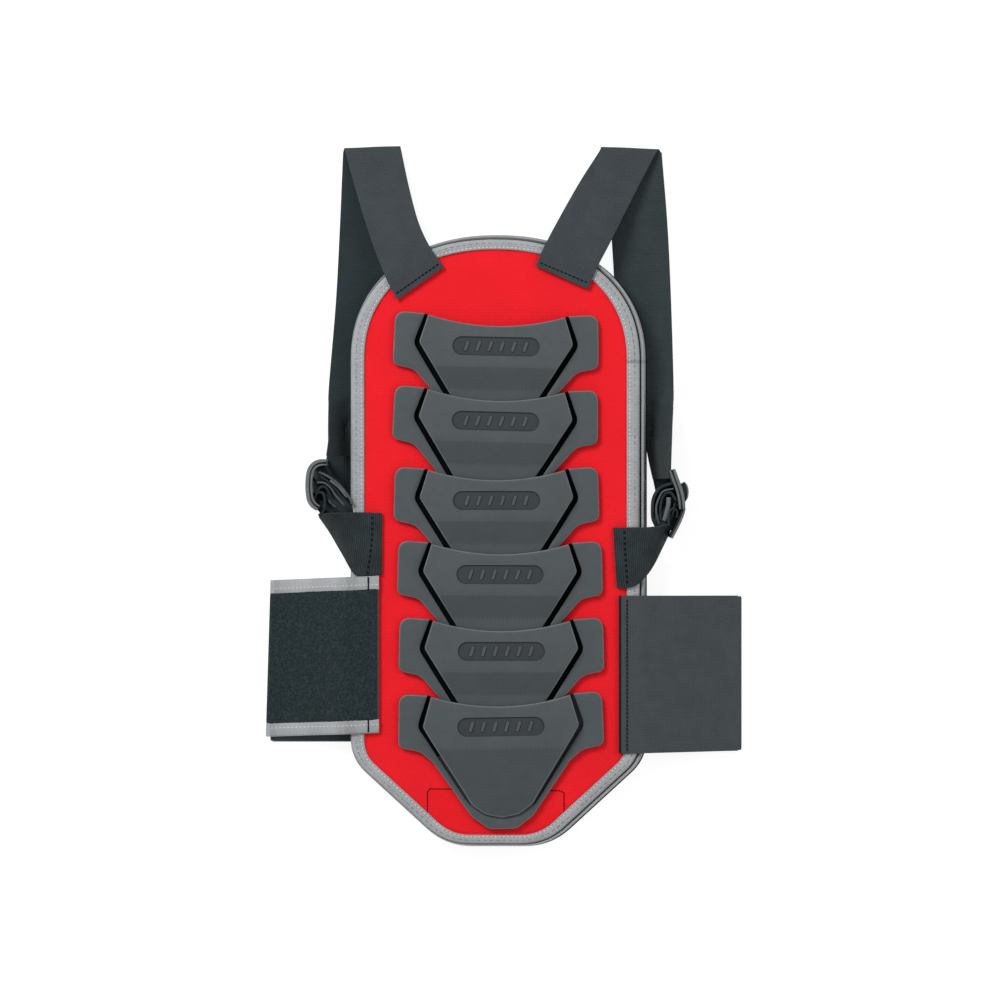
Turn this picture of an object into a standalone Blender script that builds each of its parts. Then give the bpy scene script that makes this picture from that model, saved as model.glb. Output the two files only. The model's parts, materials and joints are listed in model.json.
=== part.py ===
"""Back protector: six overlapping hard plates on a padded back panel, with shoulder straps and a waist belt.

Lengths below are in millimetres, and they are scaled to metres where the meshes are made. The protector
lies on its back: +Z points out of the plates, +Y to the shoulders, and +X to the right seen from above.
Each moving group hangs from an empty on its joint's axis, so that turning the empty moves the group.
"""
import math

import bmesh
import bpy
from mathutils import Matrix, Vector

MM = 0.001
GAP = 0.3  # between two touching solids
THROUGH = (-20, 60)  # Z range of a cutter that passes through everything

# Outline of the front panel, measured from its own centre line
PAD_X = -7.6
PAD_HALF_WIDTH = 114.4
ARCH_BASE_Y = 108.8
ARCH_TOP_Y = 204.4
ARCH_POWER = 2.2
ARCH_STEPS = 20
TAPER_CORNER = (PAD_HALF_WIDTH, -209.0, 34)
BOTTOM_CORNER = (40.0, -277.2, 50)
REAR_GROWTH = 2.4  # the rear outline stands out from the front one
REAR_SHIFT = 3.2

# Layers of the panel, as lowest and highest Z
SPINE_PAD_Z = (0.0, 4.7)
LINING_Z = (5.0, 8.0)
FOAM_Z = (8.3, 20.2)
ANCHOR_Z = (20.5, 21.3)
PANEL_Z = (21.6, 24.0)
FRONT_BINDING_Z = (20.0, 25.3)
BACK_BINDING_Z = (3.9, 9.5)
GUSSET_Z = (9.8, 19.7)
FOAM_INSET = 3.0
BINDING_WIDTH = 9.4
BINDING_WALL = 1.2
SPINE_PAD_HALF_WIDTH = 26.0

# Plates, measured from the middle of the line through the tops of the wings
PLATE_COUNT = 6
PLATE_X = -5.2
PLATE_TOP_Y = 144.8
PLATE_PITCH = 61.1
PLATE_Z = PANEL_Z[1] + GAP
WING_HEIGHT = 5.2
LIP_DIP = 9.6
LIP_HALF_WIDTH = 54.0
WING_CORNERS = [(58.0, 0.4, 3), (80.8, 1.8, 9), (82.2, -39.5, 8), (64.0, -44.5, 16)]
TONGUE_CORNERS = [(47.5, -65.0, 5), (43.0, -79.5, 4)]
POINT_CORNERS = [(55.0, -53.0, 12), (24.5, -97.0, 12), (11.0, -107.0, 9)]
GROOVE = [(58.8, 8.0), (64.6, -22.5), (39.8, -63.0), (29.4, -80.0)]
POINT_GROOVE = [(58.8, 8.0), (66.0, -26.5), (26.0, -92.0), (13.0, -101.0), (0.0, -103.0)]
GROOVE_WIDTH = 4.6
GROOVE_FLOOR = 1.6
RIDGE = [(6, 11.6), (-20, 12.5), (-42, 12.0), (-70, 7.0), (-84, 5.2)]
POINT_RIDGE = [(6, 11.6), (-20, 12.5), (-42, 12.0), (-80, 9.6), (-112, 6.6)]
RECESS = (69.0, 14.5, -25.0, 1.2)  # length, width, Y and depth of the badge recess
# Hollows in the plate's underside, as X, Y and Z ranges
LIP_UNDERCUT = ((-51, 51), (-22, 9), (-2, 8.7))
TONGUE_UNDERCUT = ((-60, 60), (-90, -56), (-2, 2.5))
POCKETS = (((3, 40), (-50, -25), (-2, 7.6)), ((-40, -3), (-50, -25), (-2, 7.6)))
ANCHOR_X = 72.5
ANCHOR_YS = (-8.0, -33.0)
STAKE_RADIUS = 2.0

# Joints between the segments
HINGE_BELOW_WING_TOP = 2.0
HINGE_Z = 14.5
SEGMENT_GAP = 3.0
ROOT_SEGMENT = 5

WEBBING = 1.5
STRAP_FOLD = (274.6, 1.2)  # Y and Z of the fold's hinge
BUCKLE_Z = (1.0, 49.5)
BUCKLE_PIVOT = (141.4, -10.5)  # outwards from PAD_X, and Y, on the left side
RIGHT_DROP = 8.0  # the right tab and buckle sit this much lower
BELT_FLAP_END = 30.4
FLAP_HINGE_Z = 4.3

LEFT, RIGHT = -1, 1
SIDES = {"left": LEFT, "right": RIGHT}
PLANES = {
    "XY": (Matrix(((1, 0, 0), (0, 1, 0), (0, 0, 1))), Vector((0, 0, 1))),
    "XZ": (Matrix(((1, 0, 0), (0, 0, -1), (0, 1, 0))), Vector((0, 1, 0))),
    "YZ": (Matrix(((0, 0, 1), (1, 0, 0), (0, 1, 0))), Vector((1, 0, 0))),
}


def clear_scene():
    for old in list(bpy.data.objects):
        bpy.data.objects.remove(old, do_unlink=True)


def new_collection(name):
    collection = bpy.data.collections.new(name)
    bpy.context.scene.collection.children.link(collection)
    return collection


clear_scene()
PARTS = new_collection("back_protector")
CUTTERS = new_collection("cutters")


def new_material(name, colour, roughness):
    material = bpy.data.materials.new(name)
    material.use_nodes = True
    shader = material.node_tree.nodes["Principled BSDF"]
    shader.inputs["Base Color"].default_value = (*colour, 1)
    shader.inputs["Roughness"].default_value = roughness
    return material


MATERIALS = {
    "red_fabric": new_material("red_fabric", (0.80, 0.02, 0.03), 0.8),
    "plate_plastic": new_material("plate_plastic", (0.085, 0.095, 0.102), 0.5),
    "webbing": new_material("webbing", (0.05, 0.06, 0.065), 0.85),
    "silver_tape": new_material("silver_tape", (0.36, 0.37, 0.39), 0.6),
    "dark_mesh": new_material("dark_mesh", (0.012, 0.015, 0.017), 0.9),
    "foam": new_material("foam", (0.25, 0.25, 0.26), 0.95),
    "loop_pile": new_material("loop_pile", (0.018, 0.025, 0.028), 1.0),
    "elastic": new_material("elastic", (0.07, 0.08, 0.085), 0.85),
    "buckle_plastic": new_material("buckle_plastic", (0.10, 0.11, 0.115), 0.35),
}


# Outlines -------------------------------------------------------------------------------------------


def rounded(corners, steps=4):
    """Points of a closed outline through (x, y, radius) corners, with a smooth turn at each."""
    points = []
    for index, (x, y, radius) in enumerate(corners):
        here = Vector((x, y))
        before = (Vector(corners[index - 1][:2]) - here).normalized()
        after = (Vector(corners[(index + 1) % len(corners)][:2]) - here).normalized()
        if radius == 0:
            points.append(here)
            continue
        run = radius / math.tan(before.angle(after) / 2)
        for step in range(steps + 1):
            t = step / steps
            points.append(here + before * run * (1 - t) ** 2 + after * run * t**2)
    return points


def offset(points, distance):
    """A closed anticlockwise outline moved outwards by distance."""
    moved = []
    for index, here in enumerate(points):
        ahead = (points[(index + 1) % len(points)] - here).normalized()
        behind = (here - points[index - 1]).normalized()
        outward = Vector((ahead.y + behind.y, -ahead.x - behind.x)).normalized()
        moved.append(here + outward * distance / max(0.5, outward.dot(Vector((ahead.y, -ahead.x)))))
    return moved


def band(line, low, high):
    """The closed outline between two lines that run beside an open one, low and high to its left."""
    sides = []
    for shift in (low, high):
        side = []
        for index, here in enumerate(line):
            ahead = Vector(line[min(index + 1, len(line) - 1)]) - Vector(here)
            behind = Vector(here) - Vector(line[max(index - 1, 0)])
            along = (ahead.normalized() + behind.normalized()).normalized()
            reference = ahead if ahead.length else behind
            stretch = max(0.5, along.dot(reference.normalized()))
            side.append(Vector(here) + Vector((-along.y, along.x)) * shift / stretch)
        sides.append(side)
    return sides[0] + sides[1][::-1]


def bezier(start, control, end, steps):
    points = []
    for step in range(steps + 1):
        t = step / steps
        points.append(
            Vector(start) * (1 - t) ** 2 + Vector(control) * 2 * t * (1 - t) + Vector(end) * t**2
        )
    return points


def clipped(points, low, high):
    """The part of a convex outline between two Y values."""
    for limit, keep_above in ((low, True), (high, False)):
        kept = []
        for index, here in enumerate(points):
            last = points[index - 1]
            inside = (here.y >= limit) == keep_above
            if inside != ((last.y >= limit) == keep_above):
                kept.append(last.lerp(here, (limit - last.y) / (here.y - last.y)))
            if inside:
                kept.append(here)
        points = kept
    return points


def rectangle(x_low, x_high, y_low, y_high, radius=0):
    """An anticlockwise rectangle with rounded corners."""
    corners = [(x_low, y_low), (x_high, y_low), (x_high, y_high), (x_low, y_high)]
    return rounded([(x, y, radius) for x, y in corners], steps=3)


def panel_outline(grow=0.0, shift=0.0):
    """The front panel's edge, anticlockwise: an arch, straight sides, and a tapered bottom."""
    points = []
    for step in range(ARCH_STEPS + 1):
        angle = math.pi * step / ARCH_STEPS
        across = math.copysign(abs(math.cos(angle)) ** (2 / ARCH_POWER), math.cos(angle))
        up = math.sin(angle) ** (2 / ARCH_POWER)
        points.append(Vector((PAD_HALF_WIDTH * across, ARCH_BASE_Y + (ARCH_TOP_Y - ARCH_BASE_Y) * up)))
    mirrored = [(-x, y, radius) for x, y, radius in (TAPER_CORNER, BOTTOM_CORNER)]
    corners = [(PAD_HALF_WIDTH, ARCH_BASE_Y, 0), (-PAD_HALF_WIDTH, ARCH_BASE_Y, 0)]
    corners += mirrored + [BOTTOM_CORNER, TAPER_CORNER]
    points += rounded(corners, steps=6)[2:]
    return [point + Vector((PAD_X + shift, 0)) for point in offset(points, grow)]


# Solids ---------------------------------------------------------------------------------------------


def add_piece(name, mesh, material=None, collection=PARTS):
    piece = bpy.data.objects.new(name, mesh)
    collection.objects.link(piece)
    if material:
        mesh.materials.clear()
        mesh.materials.append(MATERIALS[material])
    if collection is CUTTERS:
        piece.hide_render = True
        piece.display_type = "WIRE"
    return piece


def mesh_of(piece):
    """The piece's evaluated mesh with its caps welded."""
    bpy.context.view_layer.update()
    evaluated = piece.evaluated_get(bpy.context.evaluated_depsgraph_get())
    mesh = bpy.data.meshes.new_from_object(evaluated)
    welded = bmesh.new()
    welded.from_mesh(mesh)
    bmesh.ops.remove_doubles(welded, verts=welded.verts, dist=0.01 * MM)
    welded.to_mesh(mesh)
    welded.free()
    return mesh


def prism(name, outline, low, high, material=None, collection=PARTS, plane="XY"):
    """A flat outline in the given plane, carried from low to high along the third axis."""
    turn, along = PLANES[plane]
    curve = bpy.data.curves.new(name, "CURVE")
    curve.dimensions = "2D"
    curve.fill_mode = "BOTH"
    curve.extrude = (high - low) / 2 * MM
    spline = curve.splines.new("POLY")
    spline.points.add(len(outline) - 1)
    for point, place in zip(spline.points, outline):
        point.co = (place[0] * MM, place[1] * MM, 0, 1)
    spline.use_cyclic_u = True
    outline_object = bpy.data.objects.new(name + "_outline", curve)
    PARTS.objects.link(outline_object)
    middle = along * (low + high) / 2 * MM
    outline_object.matrix_world = Matrix.Translation(middle) @ turn.to_4x4()
    piece = add_piece(name, mesh_of(outline_object), material, collection)
    piece.matrix_world = outline_object.matrix_world
    bpy.data.objects.remove(outline_object)
    return piece


def box(name, x_range, y_range, z_range):
    outline = rectangle(*x_range, *y_range)
    return prism(name, outline, *z_range, collection=CUTTERS)


def combine(piece, tool, operation="DIFFERENCE"):
    modifier = piece.modifiers.new(operation.lower(), "BOOLEAN")
    modifier.operation = operation
    modifier.object = tool
    modifier.solver = "EXACT"


def finish(piece):
    """Applies the piece's modifiers and its place, so that it no longer needs its cutters."""
    mesh = mesh_of(piece)
    mesh.transform(piece.matrix_world)
    piece.modifiers.clear()
    piece.data = mesh
    piece.matrix_world = Matrix.Identity(4)
    return piece


def ribbon(name, rows, thickness, material):
    """A strip of webbing through rows of points, with the same number of points in each row."""
    surface = bmesh.new()
    grid = [[surface.verts.new(Vector(point) * MM) for point in row] for row in rows]
    for row, after in zip(grid, grid[1:]):
        for a, b, c, d in zip(row, row[1:], after[1:], after):
            surface.faces.new((a, b, c, d))
    mesh = bpy.data.meshes.new(name)
    surface.to_mesh(mesh)
    surface.free()
    piece = add_piece(name, mesh, material)
    shell = piece.modifiers.new("thickness", "SOLIDIFY")
    shell.thickness = thickness * MM
    shell.offset = 0
    shell.use_even_offset = True
    return piece


def cylinder(name, x, y, radius, z_range, material=None, collection=PARTS, sides=12):
    mesh = bpy.data.meshes.new(name)
    disc = bmesh.new()
    bmesh.ops.create_cone(
        disc,
        cap_ends=True,
        segments=sides,
        radius1=radius * MM,
        radius2=radius * MM,
        depth=(z_range[1] - z_range[0]) * MM,
    )
    disc.to_mesh(mesh)
    disc.free()
    piece = add_piece(name, mesh, material, collection)
    piece.location = Vector((x, y, sum(z_range) / 2)) * MM
    piece.rotation_euler.z = math.radians(7)
    return piece


def hang(pieces, name, axis_point):
    """Parents the pieces to an empty on their joint's axis, without moving them."""
    pivot = bpy.data.objects.new(name, None)
    pivot.empty_display_size = 0.02
    pivot.location = Vector(axis_point) * MM
    PARTS.objects.link(pivot)
    bpy.context.view_layer.update()
    for piece in pieces:
        piece.parent = pivot
        piece.matrix_parent_inverse = pivot.matrix_world.inverted()
    return pivot


# Back panel -----------------------------------------------------------------------------------------


def wing_top(number):
    return PLATE_TOP_Y - PLATE_PITCH * (number - 1)


def hinge_y(number):
    """The hinge line between segment number and the one below it."""
    return wing_top(number + 1) - HINGE_BELOW_WING_TOP


def segment_span(number):
    top = ARCH_TOP_Y + 10 if number == 1 else hinge_y(number - 1) - SEGMENT_GAP / 2
    bottom = BOTTOM_CORNER[1] - 10 if number == PLATE_COUNT else hinge_y(number) + SEGMENT_GAP / 2
    return bottom, top


def stake_places(number):
    for side in SIDES.values():
        for y in ANCHOR_YS:
            yield PLATE_X + side * ANCHOR_X, wing_top(number) + y


def build_front_panel():
    panel = prism("front_panel", panel_outline(), *PANEL_Z, "red_fabric")
    for number in range(1, PLATE_COUNT + 1):
        for x, y in stake_places(number):
            hole = cylinder("stake_hole", x, y, STAKE_RADIUS + GAP, THROUGH, collection=CUTTERS)
            combine(panel, hole)
    return finish(panel)


def build_binding(name, outline_shift, leaf_low, leaf_high, z_range):
    """An L-shaped ring: a leaf over the panel's face, and a wall around its edge."""
    grow, shift = outline_shift
    ring = prism(name, panel_outline(grow + BINDING_WALL, shift), *z_range, "silver_tape")
    inner = panel_outline(grow - BINDING_WIDTH, shift)
    combine(ring, prism(name + "_window", inner, *THROUGH, collection=CUTTERS))
    edge = panel_outline(grow + GAP, shift)
    combine(ring, prism(name + "_rebate", edge, leaf_low, leaf_high, collection=CUTTERS))
    return finish(ring)


def build_gusset():
    grow, shift = REAR_GROWTH / 2, REAR_SHIFT / 2
    wall = prism("side_gusset", panel_outline(grow, shift), *GUSSET_Z, "dark_mesh")
    inside = panel_outline(grow - 1.4, shift)
    combine(wall, prism("gusset_inside", inside, *THROUGH, collection=CUTTERS))
    return finish(wall)


def build_skins():
    front = (0.0, 0.0)
    rear = (REAR_GROWTH, REAR_SHIFT)
    return [
        build_front_panel(),
        prism("back_lining", panel_outline(*rear), *LINING_Z, "dark_mesh"),
        build_gusset(),
        build_binding("front_binding", front, FRONT_BINDING_Z[0] - 1, PANEL_Z[1] + GAP, FRONT_BINDING_Z),
        build_binding("back_binding", rear, LINING_Z[0] - GAP, BACK_BINDING_Z[1] + 1, BACK_BINDING_Z),
    ]


def build_segment(number):
    """The foam block and the spine pad under one plate."""
    low, high = segment_span(number)
    foam_outline = clipped(panel_outline(-FOAM_INSET), low, high)
    foam = prism(f"foam_block_{number}", foam_outline, *FOAM_Z, "foam")
    pad_low = max(low + 1, BOTTOM_CORNER[1] + 14)
    pad_high = min(high - 1, ARCH_TOP_Y - 14)
    sides = (PAD_X - SPINE_PAD_HALF_WIDTH, PAD_X + SPINE_PAD_HALF_WIDTH)
    pad = prism(f"spine_pad_{number}", rectangle(*sides, pad_low, pad_high, 6), *SPINE_PAD_Z, "dark_mesh")
    return [foam, pad]


# Plates ---------------------------------------------------------------------------------------------


def lip_points(steps=8):
    """The hollow upper edge between the wings, from right to left."""
    points = []
    for step in range(steps + 1):
        x = LIP_HALF_WIDTH * (1 - 2 * step / steps)
        points.append((x, -LIP_DIP * (1 - (x / LIP_HALF_WIDTH) ** 2) - 0.8, 0))
    return points


def plate_outline(lower_corners):
    half = WING_CORNERS + lower_corners
    left = [(-x, y, radius) for x, y, radius in half]
    return rounded(left + half[::-1] + lip_points())


def ridge_outline(groove, clearance=GROOVE_WIDTH / 2 - 0.4):
    """The raised middle, which reaches to inside the two grooves."""
    half = [(x - clearance, y, 0) for x, y in groove if x > 0]
    left = [(-x, y, radius) for x, y, radius in half]
    return rounded(left + half[::-1])


def build_plate(name, lower_corners, groove, ridge, is_last):
    """One plate at the origin of its own frame: wings, raised middle, grooves and recesses."""
    plate = prism(name, plate_outline(lower_corners), 0, WING_HEIGHT, "plate_plastic")
    middle = prism(name + "_middle", plate_outline(lower_corners), 0, 20, collection=CUTTERS)
    profile = [(ridge[0][0], 0)] + ridge + [(ridge[-1][0], 0)]
    combine(middle, prism("ridge_side", profile, -70, 70, collection=CUTTERS, plane="YZ"), "INTERSECT")
    plan = prism("ridge_plan", ridge_outline(groove), -1, 21, collection=CUTTERS)
    combine(middle, plan, "INTERSECT")
    combine(plate, middle, "UNION")
    right = groove
    left = [(-x, y) for x, y in groove]
    paths = [right + left[::-1][1:]] if is_last else [right, left]
    for path in paths:
        cut = band(path, -GROOVE_WIDTH / 2, GROOVE_WIDTH / 2)
        combine(plate, prism("groove_cut", cut, GROOVE_FLOOR, 20, collection=CUTTERS))
    length, width, recess_y, depth = RECESS
    end = length / 2
    slot = rectangle(-end, end, recess_y - width / 2, recess_y + width / 2, width / 2 - 0.1)
    combine(plate, prism("badge_recess", slot, RIDGE[1][1] - 0.2 - depth, 20, collection=CUTTERS))
    hollows = [LIP_UNDERCUT, *POCKETS] + ([] if is_last else [TONGUE_UNDERCUT])
    for hollow in hollows:
        combine(plate, box("underside_hollow", *hollow))
    for side in SIDES.values():
        for y in ANCHOR_YS:
            hole = (side * ANCHOR_X, y, STAKE_RADIUS + GAP, THROUGH)
            combine(plate, cylinder("stake_hole", *hole, collection=CUTTERS))
    return finish(plate)


def build_anchors():
    """Strips behind the panel, each with two stakes that pass through the panel into a wing."""
    reach = (ANCHOR_YS[0] - ANCHOR_YS[1]) / 2
    outline = rectangle(-4, 4, -reach - 5, reach + 5, 3)
    pattern = prism("anchor_pattern", outline, *ANCHOR_Z, "plate_plastic")
    for y in (-reach, reach):
        span = (ANCHOR_Z[0] + 0.3, PLATE_Z + WING_HEIGHT - 0.2)
        combine(pattern, cylinder("stake", 0, y, STAKE_RADIUS, span, collection=CUTTERS), "UNION")
    finish(pattern)
    anchors = {}
    for number in range(1, PLATE_COUNT + 1):
        for side_name, side in SIDES.items():
            anchor = add_piece(f"plate_{number}_anchor_{side_name}", pattern.data)
            y = wing_top(number) + sum(ANCHOR_YS) / 2
            anchor.location = Vector((PLATE_X + side * ANCHOR_X, y, 0)) * MM
            anchors[number, side_name] = anchor
    bpy.data.objects.remove(pattern)
    return anchors


def build_plates():
    """The five overlapping plates share one mesh, and the last one ends in a point."""
    common = build_plate("plate_1", TONGUE_CORNERS, GROOVE, RIDGE, False)
    last = build_plate(f"plate_{PLATE_COUNT}", POINT_CORNERS, POINT_GROOVE, POINT_RIDGE, True)
    plates = [common]
    for number in range(2, PLATE_COUNT):
        plates.append(add_piece(f"plate_{number}", common.data))
    plates.append(last)
    for number, plate in enumerate(plates, 1):
        plate.location = Vector((PLATE_X, wing_top(number), PLATE_Z)) * MM
    return plates


# Straps, tabs and buckles ---------------------------------------------------------------------------

# Rows from the hem over the binding to the fold, as (inner edge, outer edge, Z)
FRONT_STRAP_ROWS = {
    "left": [
        ((-48.8, 183.2), (-86.4, 156.8), 26.6),
        ((-60.0, 199.2), (-95.6, 175.2), 27.2),
        ((-69.2, 219.2), (-106.2, 202.4), 23.0),
        ((-76.8, 247.2), (-117.2, 236.8), 13.0),
        ((-82.4, 275.2), (-126.8, 273.6), 6.4),
        ((-83.0, 280.0), (-127.8, 278.8), 3.8),
        ((-83.5, 277.2), (-128.4, 277.0), 1.2),
    ],
    "right": [
        ((24.4, 184.0), (66.4, 165.2), 26.6),
        ((30.4, 197.6), (73.6, 182.4), 27.2),
        ((41.6, 219.2), (84.8, 204.0), 23.0),
        ((60.0, 252.0), (101.6, 237.6), 13.0),
        ((75.2, 276.0), (120.0, 273.0), 6.4),
        ((77.0, 280.0), (123.6, 278.0), 3.8),
        ((78.0, 277.4), (125.0, 277.0), 1.2),
    ],
}
# Rows from the fold to the buckle: Y, then (X, Z) of the inner edge, the bend and the outer edge
REAR_STRAP_ROWS = {
    "left": [
        (274.6, (-84.0, 1.2), (-112.0, 1.2), (-129.2, 1.2)),
        (156.0, (-87.0, 1.2), (-118.0, 1.2), (-134.4, 1.2)),
        (88.8, (-94.0, 1.2), (-126.4, 1.2), (-141.6, 1.2)),
        (72.8, (-101.5, 1.2), (-126.4, 1.2), (-143.5, 14.0)),
        (56.8, (-117.5, 1.2), (-127.4, 1.2), (-142.5, 31.5)),
        (49.0, (-121.5, 1.2), (-127.6, 1.2), (-142.8, 37.5)),
        (42.6, (-126.0, 1.2), (-128.4, 5.0), (-143.0, 44.5)),
        (35.8, (-129.0, 2.5), (-134.6, 22.0), (-141.6, 46.0)),
    ],
    "right": [
        (274.6, (79.0, 1.2), (108.0, 1.2), (126.0, 1.2)),
        (156.0, (88.8, 1.2), (116.0, 1.2), (133.6, 1.2)),
        (88.8, (88.0, 1.2), (118.0, 1.2), (135.6, 1.2)),
        (72.8, (95.0, 1.2), (118.0, 1.2), (134.8, 16.0)),
        (56.8, (105.0, 1.2), (118.0, 1.2), (133.5, 31.0)),
        (49.0, (109.0, 1.2), (117.0, 1.2), (133.0, 38.0)),
        (40.6, (116.2, 1.2), (118.6, 5.0), (132.5, 44.5)),
        (29.8, (120.4, 2.5), (125.0, 22.0), (131.4, 46.0)),
    ],
}
# Rows from the buckle to the sewn edge: upper edge, middle and lower edge, as (outwards, Y, Z)
TAB_ROWS = [
    ((137.0, -14.6, 44.0), (137.4, -15.0, 25.0), (137.8, -15.4, 6.0)),
    ((131.4, -12.5, 44.5), (134.4, -19.5, 27.0), (135.9, -26.0, 10.0)),
    ((120.4, -12.8, 38.0), (123.4, -27.0, 31.0), (124.4, -42.0, 27.2)),
    ((104.4, -14.0, 28.8), (106.4, -38.0, 27.4), (110.0, -63.0, 27.2)),
    ((90.8, -14.8, 25.7), (90.8, -39.0, 25.7), (90.8, -63.2, 25.7)),
]
# Buckle in its own frame: X outwards and Y towards the strap, from the bar that holds the tab
FRAME_ARC = ((-1.5, -2.5), (17.0, 18.0), (-6.0, 39.0))
FRAME_THICKNESS = 5.0
SLOT_YS = ((1.5, 8.2), (14.5, 20.0), (26.5, 32.5))
SLOT_Z = (4.5, 46.0)
STRAP_LOOP = [
    (-11.0, 36.5), (-6.5, 31.6), (1.0, 29.4), (8.2, 28.6), (10.9, 24.0),
    (11.3, 19.6), (9.6, 17.4), (1.5, 17.2), (-4.5, 15.0), (-9.0, 10.0), (-9.6, 5.0),
]
STRAP_LOOP_Z = (6.0, 44.0)
TAB_RING_CENTRE = (0.3, 0.2)
TAB_RING_RADIUS = 5.6


def build_front_strap(side_name):
    rows = []
    for inner, outer, z in FRONT_STRAP_ROWS[side_name]:
        rows.append([(*inner, z), (*outer, z)])
    return ribbon(f"shoulder_strap_{side_name}", rows, WEBBING, "webbing")


def build_rear_strap(side_name):
    rows = []
    for y, *points in REAR_STRAP_ROWS[side_name]:
        rows.append([(x, y, z) for x, z in points])
    return ribbon(f"rear_strap_{side_name}", rows, WEBBING, "webbing")


def side_drop(side_name):
    return RIGHT_DROP if side_name == "right" else 0.0


def pivot_place(side_name):
    outwards, y = BUCKLE_PIVOT
    return PAD_X + SIDES[side_name] * outwards, y - side_drop(side_name)


def placed(points, side_name):
    """Points of the buckle's own frame in the protector's frame."""
    x, y = pivot_place(side_name)
    return [(x + SIDES[side_name] * point[0], y + point[1]) for point in points]


def build_buckle(side_name):
    """A slotted frame on its edge, bowed outwards, and the strap that loops through it."""
    half = FRAME_THICKNESS / 2
    outline = placed(band(bezier(*FRAME_ARC, 8), -half, half), side_name)
    frame = prism(f"buckle_{side_name}", outline, *BUCKLE_Z, "buckle_plastic")
    x, y = pivot_place(side_name)
    for low, high in SLOT_YS:
        slot = box("buckle_slot", (x - 20, x + 20), (y + low, y + high), SLOT_Z)
        combine(frame, slot)
    loop = placed(band(STRAP_LOOP, -0.7, 0.7), side_name)
    webbing = prism(f"strap_loop_{side_name}", loop, *STRAP_LOOP_Z, "webbing")
    return [finish(frame), webbing]


def build_tab(side_name):
    """The webbing tab sewn to the panel's face, with the loop that holds the buckle's bar."""
    side = SIDES[side_name]
    rows = []
    for row in TAB_ROWS:
        rows.append([(PAD_X + side * out, y - side_drop(side_name), z) for out, y, z in row])
    tab = ribbon(f"buckle_tab_{side_name}", rows, WEBBING, "webbing")
    centre = Vector(TAB_RING_CENTRE)
    line = []
    for degrees in range(-120, 181, 30):
        angle = math.radians(degrees)
        line.append(centre + Vector((math.cos(angle), math.sin(angle))) * TAB_RING_RADIUS)
    line.append(Vector((-6.0, -4.0)))
    ring = placed(band(line, -0.75, 0.75), side_name)
    combine(tab, prism("tab_ring", ring, 6.0, 44.0, collection=CUTTERS), "UNION")
    return finish(tab)


# Waist belt -----------------------------------------------------------------------------------------

# Outwards distances of the sewn edge and of the fold, and the Y range, for each half
BELT = {
    "left": {"sewn": 93.2, "fold": 182.0, "span": (-192.8, -64.8), "flap": (-197.0, -68.8)},
    "right": {"sewn": 98.6, "fold": 197.2, "span": (-204.8, -79.6), "flap": (-204.0, -80.4)},
}
BELT_ROUTE = [(109.0, 26.9), (116.6, 27.0), (124.0, 25.4)]  # over the edge of the panel
BELT_THICKNESS = 1.6
BELT_BINDING = 10.4
PILE_THICKNESS = 1.6
HOOK_LENGTH = 42.0


def belt_band(side_name, low, high, start=0.0):
    """The belt's side profile, between two heights above the middle of its webbing."""
    side, belt = SIDES[side_name], BELT[side_name]
    fold = belt["fold"]
    route = [(belt["sewn"] + start, 26.6)] + BELT_ROUTE
    route += [(fold - 34, 15.2), (fold - 12, 8.4), (fold, 6.3)]
    return [(PAD_X + side * out, z) for out, z in band(route, low, high)]


def build_belt_half(side_name):
    """The part of the belt that is sewn to the panel and runs out to the fold."""
    half = BELT_THICKNESS / 2
    low, high = BELT[side_name]["span"]
    base = belt_band(side_name, -half, half)
    pieces = [prism(f"belt_{side_name}", base, low, high, "elastic", plane="XZ")]
    if side_name == "left":
        above = half + GAP
        pile = belt_band(side_name, above, above + PILE_THICKNESS, 1.0)
        inner = (low + BELT_BINDING + GAP, high - BELT_BINDING - GAP)
        pieces.append(prism("belt_left_loop_pile", pile, *inner, "loop_pile", plane="XZ"))
        edge = belt_band(side_name, above, above + 1.2)
        spans = {"top": (high - BELT_BINDING, high), "bottom": (low, low + BELT_BINDING)}
        for end, span in spans.items():
            name = f"belt_left_{end}_binding"
            pieces.append(prism(name, edge, *span, "silver_tape", plane="XZ"))
    return pieces


def flap_box(side_name, start, end, y_range):
    side = SIDES[side_name]
    x_range = sorted((PAD_X + side * start, PAD_X + side * end))
    return rectangle(*x_range, *y_range, 4)


def build_belt_flap(side_name):
    """The belt's free end, folded under the panel, with its half of the closure."""
    belt = BELT[side_name]
    start, end = BELT_FLAP_END, belt["fold"] - 1
    low, high = belt["flap"]
    outline = flap_box(side_name, start, end, (low, high))
    if side_name == "left":
        base = prism("belt_left_flap", outline, 1.7, 3.3, "elastic")
        inner = flap_box(side_name, start + 3, end - 6, (low + 10, high - 10))
        closure = prism("belt_left_flap_pile", inner, 0.2, 1.4, "loop_pile")
    else:
        base = prism("belt_right_flap", outline, 0.2, 1.8, "elastic")
        inner = flap_box(side_name, start + 3, start + 3 + HOOK_LENGTH, (low + 8, high - 8))
        closure = prism("hook_patch", inner, 2.1, 3.3, "loop_pile")
    return [base, closure]


# Assembly -------------------------------------------------------------------------------------------


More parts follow.
